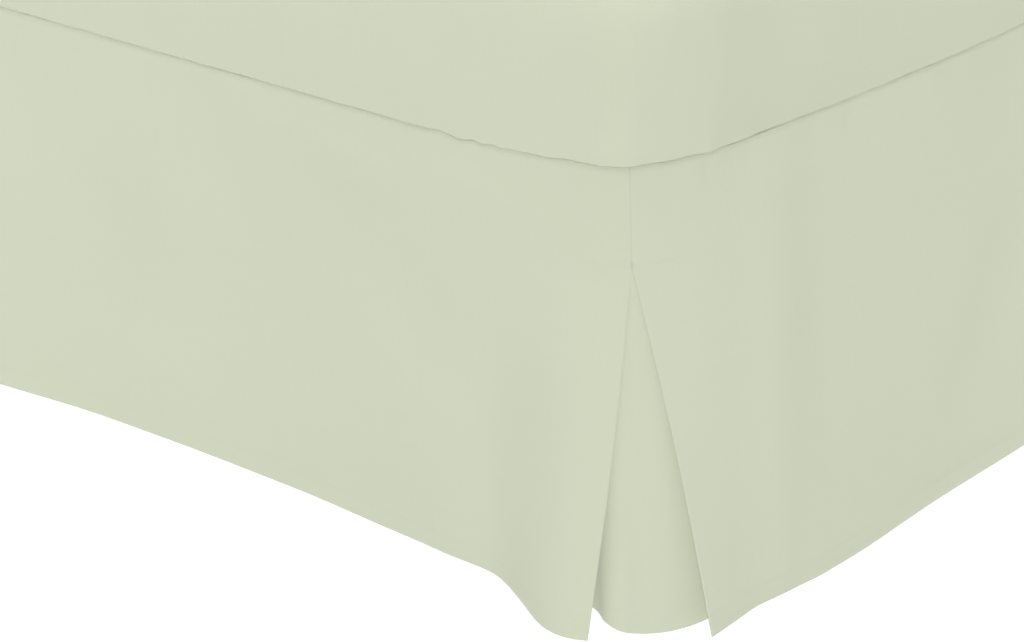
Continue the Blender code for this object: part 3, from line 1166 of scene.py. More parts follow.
@dataclass
class Cover:
    """The fitted cover, as rings about the bed. The mattress inside it follows them."""

    sides: tuple[Side, ...]
    cloth: ClothSpec
    gathers: Gathers
    ripple: Ripple
    column_step: float = 0.009
    fine_reach: float = 0.260
    fine_step: float = 0.0025
    row_step: float = 0.009
    corner_reach: float = 0.160
    crown: float = 0.207
    low: float = 0.0003
    top_rings: int = 9
    top_steps: int = 7
    side_height: float = 0.19
    crease_rise: float = 0.0045
    crease_width: float = 0.030
    crease_start: tuple[float, float] = (0.05, 0.17)
    crease_end: tuple[float, float] = (0.190, 0.202)
    lean_rows: tuple[float, float] = (0.010, 0.170)
    ripple_start: tuple[float, float] = (0.0, 0.05)
    ripple_end: tuple[float, float] = (0.150, 0.200)
    swell_reach: float = 0.003
    swell_fade: float = 0.040

    def loop(self) -> SeamLoop:
        """Follows the seam round the bed.

        Returns:
            Plan points, their length along the seam, how near a corner each is, how far
            the seam is pulled up or down there, how far the corner line is, how far the
            corner's crease leans this way, and how far the cover swells over the skirt.
        """
        points, near, wobble, from_line, lean, swell = [], [], [], [], [], []
        for side in self.sides:
            span = side.length - 2 * side.meet
            at = side.meet + np.linspace(0.0, span, int(span / self.column_step) + 1)[:-1]
            if side.puckers and side.near_at_end:
                end = side.meet + span
                fine = np.arange(end - self.fine_reach, end, self.fine_step)
                at = np.concatenate([at[at < fine[0] - self.fine_step], fine])
            elif side.puckers:
                fine = np.arange(side.meet, side.meet + self.fine_reach, self.fine_step)
                at = np.concatenate([fine, at[at > fine[-1] + self.fine_step]])
            aside = np.minimum(at, side.length - at) - side.meet
            points.append(side.seam(at))
            near.append(1 - smooth(0.0, self.corner_reach, aside))
            from_line.append(aside)
            lean.append(side.crease_lean * (side.from_near(at) < side.length / 2))
            wobble.append(side.wobble(at))
            swell.append(side.lip(at))
        points = np.concatenate(points)
        steps = np.linalg.norm(points - np.roll(points, 1, axis=0), axis=-1)
        length = np.cumsum(steps) - steps[0]
        columns = (np.concatenate(part) for part in (near, wobble, from_line, lean, swell))
        return SeamLoop(points, length, *columns)

    def profile(self) -> np.ndarray:
        """The cover's rows from the seam to the top, evenly spaced up the side.

        Returns:
            Rows of (up, side out, corner out).
        """
        table = np.array(COVER_ROWS)
        length = np.concatenate([[0.0], np.cumsum(np.hypot(*np.diff(table[:, :2], axis=0).T))])
        side_end = length[-2]
        fine = np.arange(0.0, side_end, self.row_step)
        coarse = np.linspace(side_end, length[-1], self.top_steps)
        at = np.concatenate([fine, coarse])
        return np.stack([curve_at(length, table[:, k], at) for k in range(3)], axis=-1)

    def rings(self, flange: bool) -> tuple[np.ndarray, np.ndarray]:
        """The surface as a grid, columns round the bed and rows from the crown down.

        Args:
            flange: Whether to add the edge that is turned into the seam.

        Returns:
            The points, and the length of each column's foot along the seam.
        """
        seam, plan = self.loop(), self.sides[0].plan
        points, length, near = seam.points, seam.length[:, None], seam.near[:, None]
        inward = plan.inward(points)
        profile = self.profile()
        if flange:
            roll = [(self.low + d, -i, -i) for i, d in self.cloth.roll_profile()[:-1]]
            profile = np.concatenate([np.array(roll), profile])
        up, side_out, corner_out = profile.T
        out = side_out[None, :] + (corner_out - side_out)[None, :] * near
        away = np.broadcast_to(up[None, :], out.shape)
        out = out + self.gathers.at(length, away)
        swollen = 1 - np.exp(-np.maximum(up - self.low, 0.0) / self.swell_reach)
        swollen = swollen * np.exp(-((up / self.swell_fade) ** 2))
        out = out + seam.swell[:, None] * swollen[None, :]
        rise = plateau(self.crease_start, self.crease_end, up)[None, :]
        leaning = seam.lean[:, None] * smooth(*self.lean_rows, up)[None, :]
        crease = np.exp(-np.abs(seam.from_line[:, None] - leaning) / self.crease_width)
        out = out + self.crease_rise * crease * rise
        side = plateau(self.ripple_start, self.ripple_end, up)[None, :]
        out = out + self.ripple.at(length, away) * side * (1 - near)
        ring = points[:, None, :] - inward[:, None, :] * out[..., None]
        pull = seam.wobble[:, None] * np.exp(-((up / PULL_REACH) ** 2))[None, :]
        high = plan.seam_height + up[None, :] + pull
        grid = np.concatenate([ring, high[..., None]], axis=-1)
        shares = np.linspace(0.0, 1.0, self.top_rings + 2)[1:-1]
        edge = grid[:, -1]
        centre = np.array([0.0, 0.0, plan.seam_height + self.crown])
        inner = [
            edge + (centre - edge) * t * np.array([1, 1, math.sin(t * math.pi / 2)]) for t in shares
        ]
        grid = np.concatenate([grid, np.stack(inner, axis=1)], axis=1)[:, ::-1]
        return grid, seam.length

    def shell(self) -> Shell:
        """The cover as a closed thin body.

        Returns:
            The body, with its UV map round the sides and flat across the top.
        """
        grid, length = self.rings(flange=True)
        half = np.full(grid.shape[:2], self.cloth.half)
        across = np.broadcast_to(length[:, None], grid.shape[:2])
        side = grid[..., 2] < self.sides[0].plan.seam_height + self.side_height
        u = np.where(side, across, grid[..., 0])
        v = np.where(side, grid[..., 2], grid[..., 1])
        return Shell(grid, half, np.stack([u, v], axis=-1), ring=True)


@dataclass
class Mattress:
    """The filled mattress inside the cover, on its flat underside."""

    cover: Cover
    low: float
    cloth: float = 0.0016
    side_clearance: float = 0.0026
    top_clearance: float = 0.0008
    flat_inset: float = 0.022
    edge_turn: tuple[float, float] = (0.12, 0.20)
    underside_rings: int = 6
    first_row: int = 2

    def build(self, name: str, finish: bpy.types.Material) -> bpy.types.Object:
        """Makes the mattress a closed body.

        Args:
            name: The object's name.
            finish: Its material.

        Returns:
            The new object.
        """
        seam, plan = self.cover.loop(), self.cover.sides[0].plan
        points = seam.points
        up, side_out, corner_out = self.cover.profile()[self.first_row :].T
        turned = smooth(*self.edge_turn, up)
        out = side_out + (corner_out - side_out) * seam.near[:, None]
        out = out - self.cloth - self.side_clearance * (1 - turned)
        high = plan.seam_height + up - (self.cloth + self.top_clearance) * turned
        out = np.concatenate([np.full((len(points), 1), -self.flat_inset), out], axis=1)
        high = np.broadcast_to(np.concatenate([[self.low], high])[None, :], out.shape)
        ring = points[:, None] - plan.inward(points)[:, None] * out[..., None]
        grid = np.concatenate([ring, high[..., None]], axis=-1)
        crown = plan.seam_height + self.cover.crown - self.cloth - self.top_clearance
        shares = np.linspace(0.0, 1.0, self.underside_rings + 2)[1:-1]
        tops = self._drawn_in(grid[:, -1], crown, shares)
        lows = self._drawn_in(grid[:, 0], self.low, shares)[:, ::-1]
        grid = np.concatenate([lows, grid, tops], axis=1)[:, ::-1]
        return self._closed(name, grid, crown, finish)

    def _drawn_in(self, edge: np.ndarray, height: float, shares: np.ndarray) -> np.ndarray:
        """Rings between an edge and the middle of the bed.

        Args:
            edge: The edge's points.
            height: Height of the middle.
            shares: How far in each ring lies, from 0 to 1.

        Returns:
            The rings as further rows of the grid.
        """
        centre = np.array([0.0, 0.0, height])
        rings = [edge + (centre - edge) * [t, t, math.sin(t * math.pi / 2)] for t in shares]
        return np.stack(rings, axis=1)

    def _closed(
        self, name: str, grid: np.ndarray, crown: float, finish: bpy.types.Material
    ) -> bpy.types.Object:
        """Closes the rings with a fan at the crown and one under the mattress.

        Args:
            name: The object's name.
            grid: Points, columns round the bed and rows from the crown to the underside.
            crown: Height of the middle of the top.
            finish: Its material.

        Returns:
            The new object, with a UV map as seen from above.
        """
        columns, rows = grid.shape[:2]
        points = grid.reshape(-1, 3)
        faces = [tuple(face) for face in grid_quads(columns, rows, True).tolist()]
        top, low = len(points), len(points) + 1
        for column in range(columns):
            a, b = column * rows, (column + 1) % columns * rows
            faces.append((top, a, b))
            faces.append((low, b + rows - 1, a + rows - 1))
        ends = np.array([[0.0, 0.0, crown], [0.0, 0.0, self.low]])
        uv = np.concatenate([points[:, :2], ends[:, :2]])
        return mesh_object(name, np.concatenate([points, ends]), faces, finish, uv)


class NodeGraph:
    """Adds nodes to a tree and links them, one short call each."""

    def __init__(self, tree: bpy.types.NodeTree) -> None:
        """Keeps the tree that the calls work on."""
        self.tree = tree

    def add(self, kind: str, **settings: object) -> bpy.types.Node:
        """Adds a node.

        Args:
            kind: Blender's name for the node.
            **settings: Its properties.

        Returns:
            The node.
        """
        node = self.tree.nodes.new(kind)
        for name, value in settings.items():
            setattr(node, name, value)
        return node

    def feed(self, socket: bpy.types.NodeSocket, value: object) -> None:
        """Links a socket to another, or gives it a value.

        Args:
            socket: The input to feed.
            value: An output to link it to, or its value.
        """
        if isinstance(value, bpy.types.NodeSocket):
            self.tree.links.new(value, socket)
        else:
            socket.default_value = value

    def put(self, node: bpy.types.Node, **values: object) -> bpy.types.Node:
        """Feeds a node's inputs.

        Args:
            node: The node.
            **values: What each input gets, by its name with _ for a space.

        Returns:
            The node.
        """
        for name, value in values.items():
            self.feed(node.inputs[name.replace("_", " ")], value)
        return node

    def math(self, operation: str, *values: object) -> bpy.types.NodeSocket:
        """Adds a Math node.

        Args:
            operation: Blender's name for what it does.
            *values: What its inputs get, in order.

        Returns:
            Its output.
        """
        node = self.add("ShaderNodeMath", operation=operation)
        for socket, value in zip(node.inputs, values):
            self.feed(socket, value)
        return node.outputs[0]

    def vector(self, operation: str, *values: object) -> bpy.types.NodeSocket:
        """Adds a Vector Math node.

        Args:
            operation: Blender's name for what it does.
            *values: What its inputs get, in order.

        Returns:
            Its vector output.
        """
        node = self.add("ShaderNodeVectorMath", operation=operation)
        for socket, value in zip(node.inputs, values):
            self.feed(socket, value)
        return node.outputs[0]

    def blend(self, share: object, first: object, second: object) -> bpy.types.NodeSocket:
        """Adds a node that mixes two colours.

        Args:
            share: How much of the second colour shows.
            first: The colour where share is 0, or its output.
            second: The colour where share is 1.

        Returns:
            The mixed colour.
        """
        node = self.put(self.add("ShaderNodeMix", data_type="RGBA"), Factor=share)
        self.feed(node.inputs[MIX_FIRST], first)
        self.feed(node.inputs[MIX_SECOND], second)
        return node.outputs[MIX_RESULT]

    def group(self, tree: bpy.types.NodeTree, **values: object) -> bpy.types.Node:
        """Places a group.

        Args:
            tree: The group.
            **values: What each of its inputs gets.

        Returns:
            The group's node.
        """
        return self.put(self.add("ShaderNodeGroup", node_tree=tree), **values)


def new_group(
    name: str,
    inputs: dict[str, tuple],
    outputs: tuple[str, ...],
    tree: str = "ShaderNodeTree",
    output_kind: str = "NodeSocketFloat",
) -> tuple:
    """Makes an empty group with named sockets.

    Args:
        name: The group's name.
        inputs: For each input its socket type and default value.
        outputs: Names of its outputs.
        tree: Blender's name for the kind of tree.
        output_kind: The socket type of the outputs.

    Returns:
        The group, its graph helper, its input node and its output node.
    """
    group = bpy.data.node_groups.new(name, tree)
    for label, (kind, value) in inputs.items():
        socket = group.interface.new_socket(label, in_out="INPUT", socket_type=kind)
        if value is not None:
            socket.default_value = value
    for label in outputs:
        group.interface.new_socket(label, in_out="OUTPUT", socket_type=output_kind)
    graph = NodeGraph(group)
    return group, graph, graph.add("NodeGroupInput"), graph.add("NodeGroupOutput")


def new_finish(name: str) -> tuple[bpy.types.Material, NodeGraph, bpy.types.Node]:
    """Makes an empty material.

    Args:
        name: Its name.

    Returns:
        The material, its graph helper and its Principled shader.
    """
    made = bpy.data.materials.new(name)
    made.use_nodes = True
    return made, NodeGraph(made.node_tree), made.node_tree.nodes["Principled BSDF"]


class Effects:
    """The shader groups that several finishes share."""

    UNDER = (0.45, 0.55)
    YARN_STRETCHES = ((0.30, 0.004, 1.0), (0.004, 0.30, 1.0))
    YARN_RISE = 0.6

    def __init__(self) -> None:
        """Builds each group once."""
        self.weave = self._weave()
        self.mottle = self._mottle()

    @staticmethod
    def _weave() -> bpy.types.NodeTree:
        """Plain weave: threads that pass over and under, with uneven yarn.

        Returns:
            The group, with the height and the tone of the threads.
        """
        group, graph, start, end = new_group(
            "plain_weave",
            {
                "Vector": ("NodeSocketVector", None),
                "Threads": ("NodeSocketFloat", 2400.0),
                "Slub": ("NodeSocketFloat", 0.5),
            },
            ("Height", "Tone"),
        )
        scaled = graph.vector("SCALE", start.outputs["Vector"])
        graph.feed(scaled.node.inputs["Scale"], start.outputs["Threads"])
        parts = graph.put(graph.add("ShaderNodeSeparateXYZ"), Vector=scaled)
        x, y = parts.outputs["X"], parts.outputs["Y"]
        crowns, cells = [], []
        for axis in (x, y):
            wave = graph.math("SINE", graph.math("MULTIPLY", axis, math.pi))
            crowns.append(graph.math("ABSOLUTE", wave))
            cells.append(graph.math("FLOOR", axis))
        over = graph.math("PINGPONG", graph.math("ADD", *cells), 1.0)
        ways = []
        for top, under in (crowns, crowns[::-1]):
            dip = graph.math("MULTIPLY_ADD", under, *Effects.UNDER)
            ways.append(graph.math("MULTIPLY", top, dip))
        mixed = graph.put(graph.add("ShaderNodeMix", data_type="FLOAT"), Factor=over)
        graph.feed(mixed.inputs["A"], ways[0])
        graph.feed(mixed.inputs["B"], ways[1])
        yarns = []
        for stretch in Effects.YARN_STRETCHES:
            place = graph.vector("MULTIPLY", scaled, stretch)
            noise = graph.put(graph.add("ShaderNodeTexNoise"), Vector=place, Scale=1.0, Detail=2.0)
            yarns.append(graph.math("SUBTRACT", noise.outputs["Fac"], 0.5))
        uneven = graph.math("MULTIPLY", graph.math("ADD", *yarns), start.outputs["Slub"])
        height = graph.math("MULTIPLY_ADD", uneven, Effects.YARN_RISE, mixed.outputs[0])
        graph.put(end, Height=height, Tone=graph.math("ADD", uneven, 0.5))
        return group

    @staticmethod
    def _mottle() -> bpy.types.NodeTree:
        """Slow drift of tone over a surface.

        Returns:
            The group, with a tone about one half.
        """
        group, graph, start, end = new_group(
            "soft_mottle",
            {
                "Vector": ("NodeSocketVector", None),
                "Scale": ("NodeSocketFloat", 6.0),
                "Amount": ("NodeSocketFloat", 0.5),
            },
            ("Tone",),
        )
        noise = graph.put(
            graph.add("ShaderNodeTexNoise"), Vector=start.outputs["Vector"],
            Scale=start.outputs["Scale"], Detail=3.0, Roughness=0.45,
        )
        centred = graph.math("SUBTRACT", noise.outputs["Fac"], 0.5)
        graph.put(end, Tone=graph.math("MULTIPLY_ADD", centred, start.outputs["Amount"], 0.5))
        return group


@dataclass(frozen=True)
class WovenFinish:
    """A woven cloth: two close tones, its threads and its drift of tone."""

    name: str
    dark: tuple[float, float, float]
    light: tuple[float, float, float]
    threads: float
    slub: float = 0.25
    mottle: float = 0.4
    mottle_scale: float = 5.0
    relief: float = 0.00006
    strength: float = 0.35
    roughness: float = 0.88
    specular: float = 0.25
    sheen: float = 0.12
    sheen_roughness: float = 0.6
    nap: float = 0.5
    stripe: float = 0.0
    stripe_half: float = 0.09
    stripe_colour: tuple[float, float, float] = (0.30, 0.36, 0.44)

    def build(self, effects: Effects) -> bpy.types.Material:
        """Makes the material.

        Args:
            effects: The shared shader groups.

        Returns:
            A material that follows the piece's own UV map.
        """
        made, graph, shader = new_finish(self.name)
        place = graph.add("ShaderNodeUVMap", uv_map="cloth").outputs["UV"]
        weave = graph.group(effects.weave, Vector=place, Threads=self.threads, Slub=self.slub)
        drift = graph.group(
            effects.mottle, Vector=place, Scale=self.mottle_scale, Amount=self.mottle
        )
        tone = graph.math("ADD", weave.outputs["Tone"], drift.outputs["Tone"])
        tone = graph.math("SUBTRACT", tone, 0.5)
        shaded = graph.blend(tone, (*self.dark, 1.0), (*self.light, 1.0))
        if self.stripe:
            shaded = self._striped(graph, place, shaded)
        bump = graph.put(
            graph.add("ShaderNodeBump"),
            Height=weave.outputs["Height"], Strength=self.strength, Distance=self.relief,
        )
        graph.put(
            shader, Base_Color=shaded, Normal=bump.outputs["Normal"], Roughness=self.roughness,
            Specular_IOR_Level=self.specular, Sheen_Weight=self.sheen,
            Sheen_Roughness=self.sheen_roughness, Diffuse_Roughness=self.nap,
        )
        return made

    def _striped(
        self, graph: NodeGraph, place: bpy.types.NodeSocket, ground: bpy.types.NodeSocket
    ) -> bpy.types.NodeSocket:
        """Lays narrow woven stripes over the ground colour.

        Args:
            graph: The material's graph helper.
            place: The UV place.
            ground: The colour between the stripes.

        Returns:
            The striped colour.
        """
        x = graph.put(graph.add("ShaderNodeSeparateXYZ"), Vector=place).outputs["X"]
        phase = graph.math("FRACT", graph.math("DIVIDE", x, self.stripe))
        aside = graph.math("ABSOLUTE", graph.math("SUBTRACT", phase, 0.5))
        line = graph.math("LESS_THAN", aside, self.stripe_half)
        return graph.blend(line, ground, (*self.stripe_colour, 1.0))


@dataclass(frozen=True)
class SolidFinish:
    """A finish on Object coordinates, for the base, the feet and the thread."""

    name: str
    dark: tuple[float, float, float]
    light: tuple[float, float, float]
    scale: float
    relief: float
    roughness: tuple[float, float]
    threads: float = 0.0
    slub: float = 0.8
    mottle: float = 0.9
    strength: float = 0.5

    def build(self, effects: Effects) -> bpy.types.Material:
        """Makes the material.

        Args:
            effects: The shared shader groups.

        Returns:
            A material that reads Object coordinates.
        """
        made, graph, shader = new_finish(self.name)
        place = graph.add("ShaderNodeTexCoord").outputs["Object"]
        drift = graph.group(effects.mottle, Vector=place, Scale=self.scale, Amount=self.mottle)
        tone = height = drift.outputs["Tone"]
        if self.threads:
            weave = graph.group(effects.weave, Vector=place, Threads=self.threads, Slub=self.slub)
            height = weave.outputs["Height"]
            tone = graph.math("MULTIPLY", graph.math("ADD", tone, weave.outputs["Tone"]), 0.5)
        smoothest, roughest = self.roughness
        rough = graph.put(
            graph.add("ShaderNodeMapRange"), Value=tone, To_Min=smoothest, To_Max=roughest
        )
        bump = graph.put(
            graph.add("ShaderNodeBump"),
            Height=height, Strength=self.strength, Distance=self.relief,
        )
        graph.put(
            shader, Base_Color=graph.blend(tone, (*self.dark, 1.0), (*self.light, 1.0)),
            Normal=bump.outputs["Normal"], Roughness=rough.outputs["Result"],
        )
        return made


@dataclass
class Stitching:
    """Rows of machine stitches, laid one after another along the paths they are given."""

    thread: bpy.types.Material
    pitch: float = 0.0035
    length: float = 0.0027
    width: float = 0.00042
    height: float = 0.00030
    sides: int = 6
    rings: int = 6
    tree: bpy.types.NodeTree = field(init=False)

    def __post_init__(self) -> None:
        """Builds the tree that lays the stitches."""
        self.tree, graph, start, end = new_group(
            "stitch_rows",
            {
                "Rows": ("NodeSocketGeometry", None),
                "Pitch": ("NodeSocketFloat", self.pitch),
                "Length": ("NodeSocketFloat", self.length),
                "Width": ("NodeSocketFloat", self.width),
                "Height": ("NodeSocketFloat", self.height),
                "Sides": ("NodeSocketInt", self.sides),
                "Rings": ("NodeSocketInt", self.rings),
                "Thread": ("NodeSocketMaterial", None),
            },
            ("Stitches",),
            tree="GeometryNodeTree",
            output_kind="NodeSocketGeometry",
        )
        given = start.outputs
        path = graph.put(graph.add("GeometryNodeMeshToCurve"), Mesh=given["Rows"])
        spaced = graph.put(
            graph.add("GeometryNodeResampleCurve", mode="LENGTH"),
            Curve=path.outputs["Curve"], Length=given["Pitch"],
        )
        tangent = graph.add("GeometryNodeInputTangent").outputs["Tangent"]
        outward = graph.put(
            graph.add("GeometryNodeInputNamedAttribute", data_type="FLOAT_VECTOR"), Name="outward",
        )
        along = graph.put(
            graph.add("FunctionNodeAlignRotationToVector", axis="Z"), Vector=tangent,
        )
        turned = graph.put(
            graph.add("FunctionNodeAlignRotationToVector", axis="X", pivot_axis="Z"),
            Rotation=along.outputs["Rotation"], Vector=outward.outputs["Attribute"],
        )
        stitch = graph.put(
            graph.add("GeometryNodeMeshUVSphere"),
            Segments=given["Sides"], Rings=given["Rings"], Radius=0.5,
        )
        rounded = graph.put(
            graph.add("GeometryNodeSetShadeSmooth"), Geometry=stitch.outputs["Mesh"],
        )
        size = graph.put(
            graph.add("ShaderNodeCombineXYZ"),
            X=given["Height"], Y=given["Width"], Z=given["Length"],
        )
        laid = graph.put(
            graph.add("GeometryNodeInstanceOnPoints"),
            Points=spaced.outputs["Curve"], Instance=rounded.outputs["Geometry"],
            Rotation=turned.outputs["Rotation"], Scale=size.outputs["Vector"],
        )
        real = graph.put(
            graph.add("GeometryNodeRealizeInstances"), Geometry=laid.outputs["Instances"],
        )
        dressed = graph.put(
            graph.add("GeometryNodeSetMaterial"),
            Geometry=real.outputs["Geometry"], Material=given["Thread"],
        )
        graph.put(end, Stitches=dressed.outputs["Geometry"])

    def _guide(self, name: str, rows: list[Row]) -> bpy.types.Object:
        """Makes the rows one object of plain edges.

        Args:
            name: The object's name.
            rows: The rows.

        Returns:
            The object, with the outward directions as an attribute.
        """
        edges, first = [], 0
        for row in rows:
            edges += [(k, k + 1) for k in range(first, first + len(row.points) - 1)]
            first += len(row.points)
        mesh = bpy.data.meshes.new(name)
        mesh.from_pydata(np.concatenate([row.points for row in rows]).tolist(), edges, [])
        outward = mesh.attributes.new("outward", "FLOAT_VECTOR", "POINT")
        outward.data.foreach_set("vector", np.concatenate([row.outward for row in rows]).ravel())
        guide = bpy.data.objects.new(name, mesh)
        bpy.context.scene.collection.objects.link(guide)
        return guide

    def build(self, name: str, rows: list[Row]) -> bpy.types.Object:
        """Sews the rows.

        Args:
            name: The object's name.
            rows: The rows to sew.

        Returns:
            The stitches as one plain mesh.
        """
        guide = self._guide(f"{name}_rows", rows)
        sewing = guide.modifiers.new("sewing", "NODES")
        sewing.node_group = self.tree
        values = {
            "Pitch": self.pitch, "Length": self.length, "Width": self.width,
            "Height": self.height, "Sides": self.sides, "Rings": self.rings,
            "Thread": self.thread,
        }
        for socket in self.tree.interface.items_tree:
            if socket.name in values:
                sewing[socket.identifier] = values[socket.name]
        depsgraph = bpy.context.evaluated_depsgraph_get()
        sewn = guide.evaluated_get(depsgraph)
        mesh = bpy.data.meshes.new_from_object(sewn, depsgraph=depsgraph)
        mesh.materials.clear()
        mesh.materials.append(self.thread)
        piece = bpy.data.objects.new(name, mesh)
        bpy.context.scene.collection.objects.link(piece)
        rows_mesh = guide.data
        bpy.data.objects.remove(guide)
        bpy.data.meshes.remove(rows_mesh)
        return piece


@dataclass(frozen=True)
class Key:
    """A broad light: its strength, height and turn from straight in front of the foot."""

    name: str
    energy: float
    height_deg: float
    turn_deg: float
    spread_deg: float
    colour: tuple[float, float, float] = (1.0, 1.0, 1.0)

    def build(self) -> None:
        """Adds the light to the scene."""
        light = bpy.data.lights.new(self.name, "SUN")
        light.energy = self.energy
        light.color = self.colour
        light.angle = math.radians(self.spread_deg)
        lamp = bpy.data.objects.new(self.name, light)
        lamp.rotation_euler = (
            math.radians(90 - self.height_deg), 0.0, math.radians(self.turn_deg),
        )
        bpy.context.scene.collection.objects.link(lamp)


@dataclass(frozen=True)
class FloorFinish:
    """A pale studio floor that is lit from within, so that shadows on it stay faint."""

    name: str = "pale_floor"
    dark: tuple[float, float, float] = (0.28, 0.28, 0.28)
    light: tuple[float, float, float] = (0.32, 0.32, 0.32)
    glow: float = 0.34
    seen_glow: float = 0.95
    scale: float = 0.7
    mottle: float = 0.9
    roughness: float = 0.9
    specular: float = 0.1

    def build(self, effects: Effects) -> bpy.types.Material:
        """Makes the material.

        Args:
            effects: The shared shader groups.

        Returns:
            A material that glows more to the camera than to the bed.
        """
        made, graph, shader = new_finish(self.name)
        place = graph.add("ShaderNodeTexCoord").outputs["Object"]
        drift = graph.group(effects.mottle, Vector=place, Scale=self.scale, Amount=self.mottle)
        colour = graph.blend(drift.outputs["Tone"], (*self.dark, 1.0), (*self.light, 1.0))
        seen = graph.add("ShaderNodeLightPath").outputs["Is Camera Ray"]
        strength = graph.math("MULTIPLY_ADD", seen, self.seen_glow - self.glow, self.glow)
        graph.put(
            shader, Base_Color=colour, Roughness=self.roughness, Emission_Strength=strength,
            Specular_IOR_Level=self.specular, Emission_Color=(1.0, 1.0, 1.0, 1.0),
        )
        return made


@dataclass
class Studio:
    """The pale floor, the soft light and the camera."""

    floor_half: float = 60.0
    floor_drop: float = 0.0003
    sky: float = 0.02
    backdrop: float = 1.0
    strip: Key = Key("strip", energy=0.577, height_deg=25.0, turn_deg=36.8, spread_deg=2.0)
    strip_heights: tuple[float, ...] = (4.0, 10.0, 16.0, 22.0, 30.0)
    fills: tuple[Key, ...] = (
        Key("left_fill", energy=0.10, height_deg=25.0, turn_deg=-15.0, spread_deg=50.0),
        Key("back_light", energy=1.8, height_deg=28.0, turn_deg=216.8, spread_deg=12.0),
        Key("top_light", energy=1.75, height_deg=90.0, turn_deg=0.0, spread_deg=40.0,
            colour=(1.03, 0.985, 1.07)),
    )
    camera_place: tuple[float, float, float] = (2.02161, -2.77524, 1.28326)
    camera_down_deg: float = 23.4323
    camera_turn_deg: float = 39.2524
    lens: float = 110.75
    clip_end: float = 200.0

    def build(self, floor_finish: bpy.types.Material) -> None:
        """Sets up the whole studio.

        Args:
            floor_finish: The floor's material.
        """
        self._floor(floor_finish)
        self._sky()
        for height in self.strip_heights:
            replace(self.strip, name=f"strip_{height:.0f}", height_deg=height).build()
        for fill in self.fills:
            fill.build()
        self._camera()
        bpy.context.scene.view_settings.view_transform = "Standard"

    def _floor(self, finish: bpy.types.Material) -> None:
        """Lays the floor, just under the feet.

        Args:
            finish: Its material.
        """
        half = self.floor_half
        corners = [(-half, -half), (half, -half), (half, half), (-half, half)]
        points = np.array([(x, y, -self.floor_drop) for x, y in corners])
        floor = mesh_object("studio_floor", points, [(0, 1, 2, 3)], finish)

    def _sky(self) -> None:
        """An even sky, which shows as a white backdrop."""
        world = bpy.data.worlds.new("studio_sky")
        world.use_nodes = True
        graph = NodeGraph(world.node_tree)
        background = world.node_tree.nodes["Background"]
        seen = graph.add("ShaderNodeLightPath").outputs["Is Camera Ray"]
        strength = graph.math("MULTIPLY_ADD", seen, self.backdrop - self.sky, self.sky)
        background.inputs["Color"].default_value = (1.0, 1.0, 1.0, 1.0)
        graph.put(background, Strength=strength)
        bpy.context.scene.world = world

    def _camera(self) -> None:
        """The camera that frames the near corner."""
        data = bpy.data.cameras.new("camera")
        data.lens = self.lens
        data.clip_end = self.clip_end
        camera = bpy.data.objects.new("camera", data)
        camera.location = self.camera_place
        camera.rotation_euler = (
            math.radians(90 - self.camera_down_deg), 0.0, math.radians(self.camera_turn_deg),
        )
        bpy.context.scene.collection.objects.link(camera)
        bpy.context.scene.camera = camera


def settle(obj: bpy.types.Object, slot: Slot, *nodes: str) -> None:
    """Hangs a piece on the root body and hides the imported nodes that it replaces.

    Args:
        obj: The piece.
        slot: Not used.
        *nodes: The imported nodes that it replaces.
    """
    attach(obj, ROOT)
    if nodes:
        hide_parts(*nodes)
    LOG.info("%s: %d faces", obj.name, len(obj.data.polygons))


class Finishes:
    """The bed's finishes, each built once."""

    def __init__(self, effects: Effects) -> None:
        """Builds them.

        Args:
            effects: The shared shader groups.
        """
        self.green = WovenFinish(
            "green_percale", dark=(0.504, 0.538, 0.413), light=(0.554, 0.587, 0.456),
            threads=2400.0,
        ).build(effects)
        self.ticking = WovenFinish(
            "mattress_ticking", dark=(0.62, 0.61, 0.57), light=(0.74, 0.73, 0.69),
            threads=1300.0, stripe=0.024,
        ).build(effects)
        self.base_cloth = SolidFinish(
            "base_cloth", dark=(0.30, 0.27, 0.23), light=(0.52, 0.48, 0.42), scale=9.0,
            relief=0.0002, roughness=(0.80, 0.95), threads=900.0,
        ).build(effects)
        self.plastic = SolidFinish(
            "foot_plastic", dark=(0.018, 0.018, 0.020), light=(0.035, 0.035, 0.038), scale=420.0,
            relief=0.00005, roughness=(0.38, 0.55),
        ).build(effects)
        self.thread = SolidFinish(
            "sewing_thread", dark=(0.485, 0.513, 0.398), light=(0.560, 0.588, 0.462), scale=900.0,
            relief=0.00002, roughness=(0.60, 0.80),
        ).build(effects)


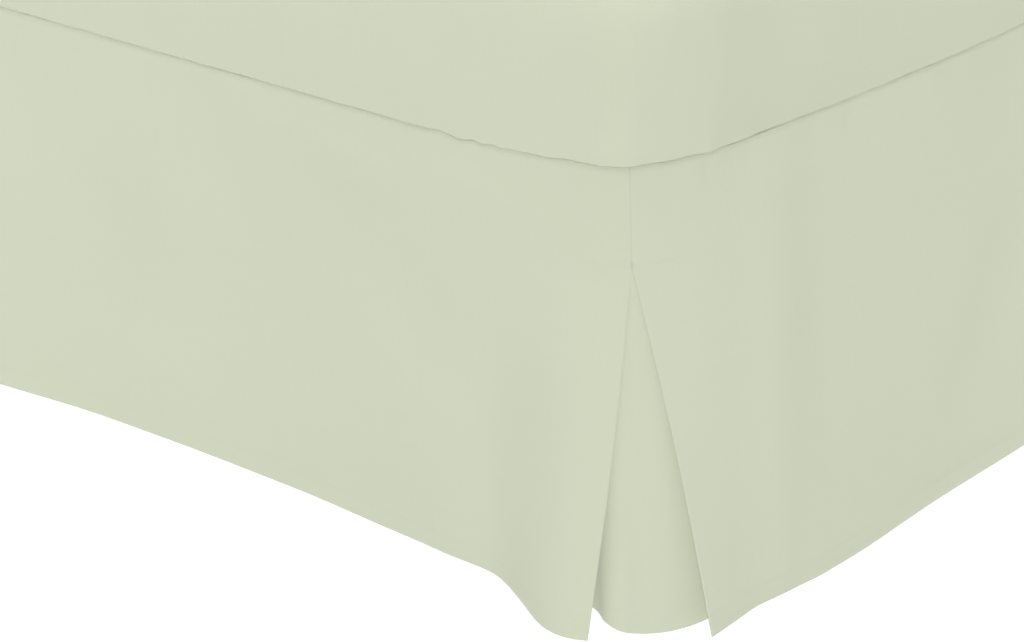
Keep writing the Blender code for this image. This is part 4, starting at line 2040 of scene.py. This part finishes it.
@dataclass
class Valance:
    """The whole bed skirt on its bed, piece by piece."""

    finishes: Finishes
    plan: BedPlan
    cloth: ClothSpec
    near_steps: tuple[float, float] = (0.005, 0.006)
    plain_steps: tuple[float, float] = (0.010, 0.010)
    cover_gather_seed: int = 11
    cover_gather_depth: float = 0.0005
    cover_ripple_seed: int = 12
    cover_ripple_depth: float = 0.0006
    ripple_seed: int = 20
    gather_seed: int = 30

    def sew_cover(self, sides: tuple[Side, ...]) -> tuple[Cover, bpy.types.Object]:
        """Makes the fitted cover.

        Args:
            sides: The sides of the bed.

        Returns:
            The cover's shape, and its piece.
        """
        cover = Cover(
            sides, self.cloth,
            Gathers(seed=self.cover_gather_seed, depth=self.cover_gather_depth),
            Ripple(seed=self.cover_ripple_seed, depth=self.cover_ripple_depth),
        )
        cover_piece = cover.shell().build("mattress_cover_cloth", self.finishes.green)
        settle(cover_piece, Slot.CLOTH, "mattress_cover")
        return cover, cover_piece

    def hang_panels(
        self, sides: tuple[Side, ...], stitching: Stitching
    ) -> None:
        """Makes the four sides of the skirt and their stitches.

        Args:
            sides: The sides of the bed.
            stitching: What sews the rows.
        """
        for number, side in enumerate(sides):
            column_step, row_step = self.near_steps if side.folds else self.plain_steps
            panel = Panel(
                side, self.cloth, Ripple(seed=self.ripple_seed + number),
                Gathers(seed=self.gather_seed + number), column_step, row_step,
            )
            piece = panel.shell().build(f"{side.name}_cloth", self.finishes.green)
            settle(piece, Slot.CLOTH, side.name)
            stitches = stitching.build(f"{side.name}_stitches", panel.stitch_rows())
            settle(stitches, Slot.CLOTH)

    def hang_underlays(self, stitching: Stitching) -> None:
        """Makes the underlay of each corner pleat and its stitches.

        Args:
            stitching: What sews the rows.
        """
        for name, x_sign, y_sign, belly in PLEAT_CORNERS:
            underlay = Underlay(x_sign, y_sign, self.plan, self.cloth, belly=belly)
            piece = underlay.shell().build(f"{name}_cloth", self.finishes.green)
            settle(piece, Slot.CLOTH, name)
            stitches = stitching.build(f"{name}_stitches", underlay.stitch_rows())
            settle(stitches, Slot.CLOTH)

    def fill_mattress(self, cover: Cover) -> None:
        """Makes the mattress inside the cover.

        Args:
            cover: The cover's shape.
        """
        mattress = Mattress(cover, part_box("mattress")[0].z)
        filled = mattress.build("mattress_filled", self.finishes.ticking)
        settle(filled, Slot.TICKING, "mattress")

    def dress_base(self) -> None:
        """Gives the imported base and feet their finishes."""
        for name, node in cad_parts.items():
            if name == "bed_base":
                node.data.materials.clear()
                node.data.materials.append(self.finishes.base_cloth)
            elif name.startswith("bed_foot"):
                node.data.materials.clear()
                node.data.materials.append(self.finishes.plastic)


def main() -> None:
    """Builds the studio, then each part of the bed and its skirt."""
    logging.basicConfig(level=logging.INFO, format="%(name)s: %(message)s")
    effects = Effects()
    finishes = Finishes(effects)
    Studio().build(FloorFinish().build(effects))

    plan = BedPlan.from_frame()
    sides = bed_sides(plan)
    stitching = Stitching(finishes.thread)
    valance = Valance(finishes, plan, ClothSpec())
    cover, cover_piece = valance.sew_cover(sides)
    valance.hang_panels(sides, stitching)
    valance.hang_underlays(stitching)
    valance.fill_mattress(cover)
    valance.dress_base()


if __name__ == "__main__":
    main()
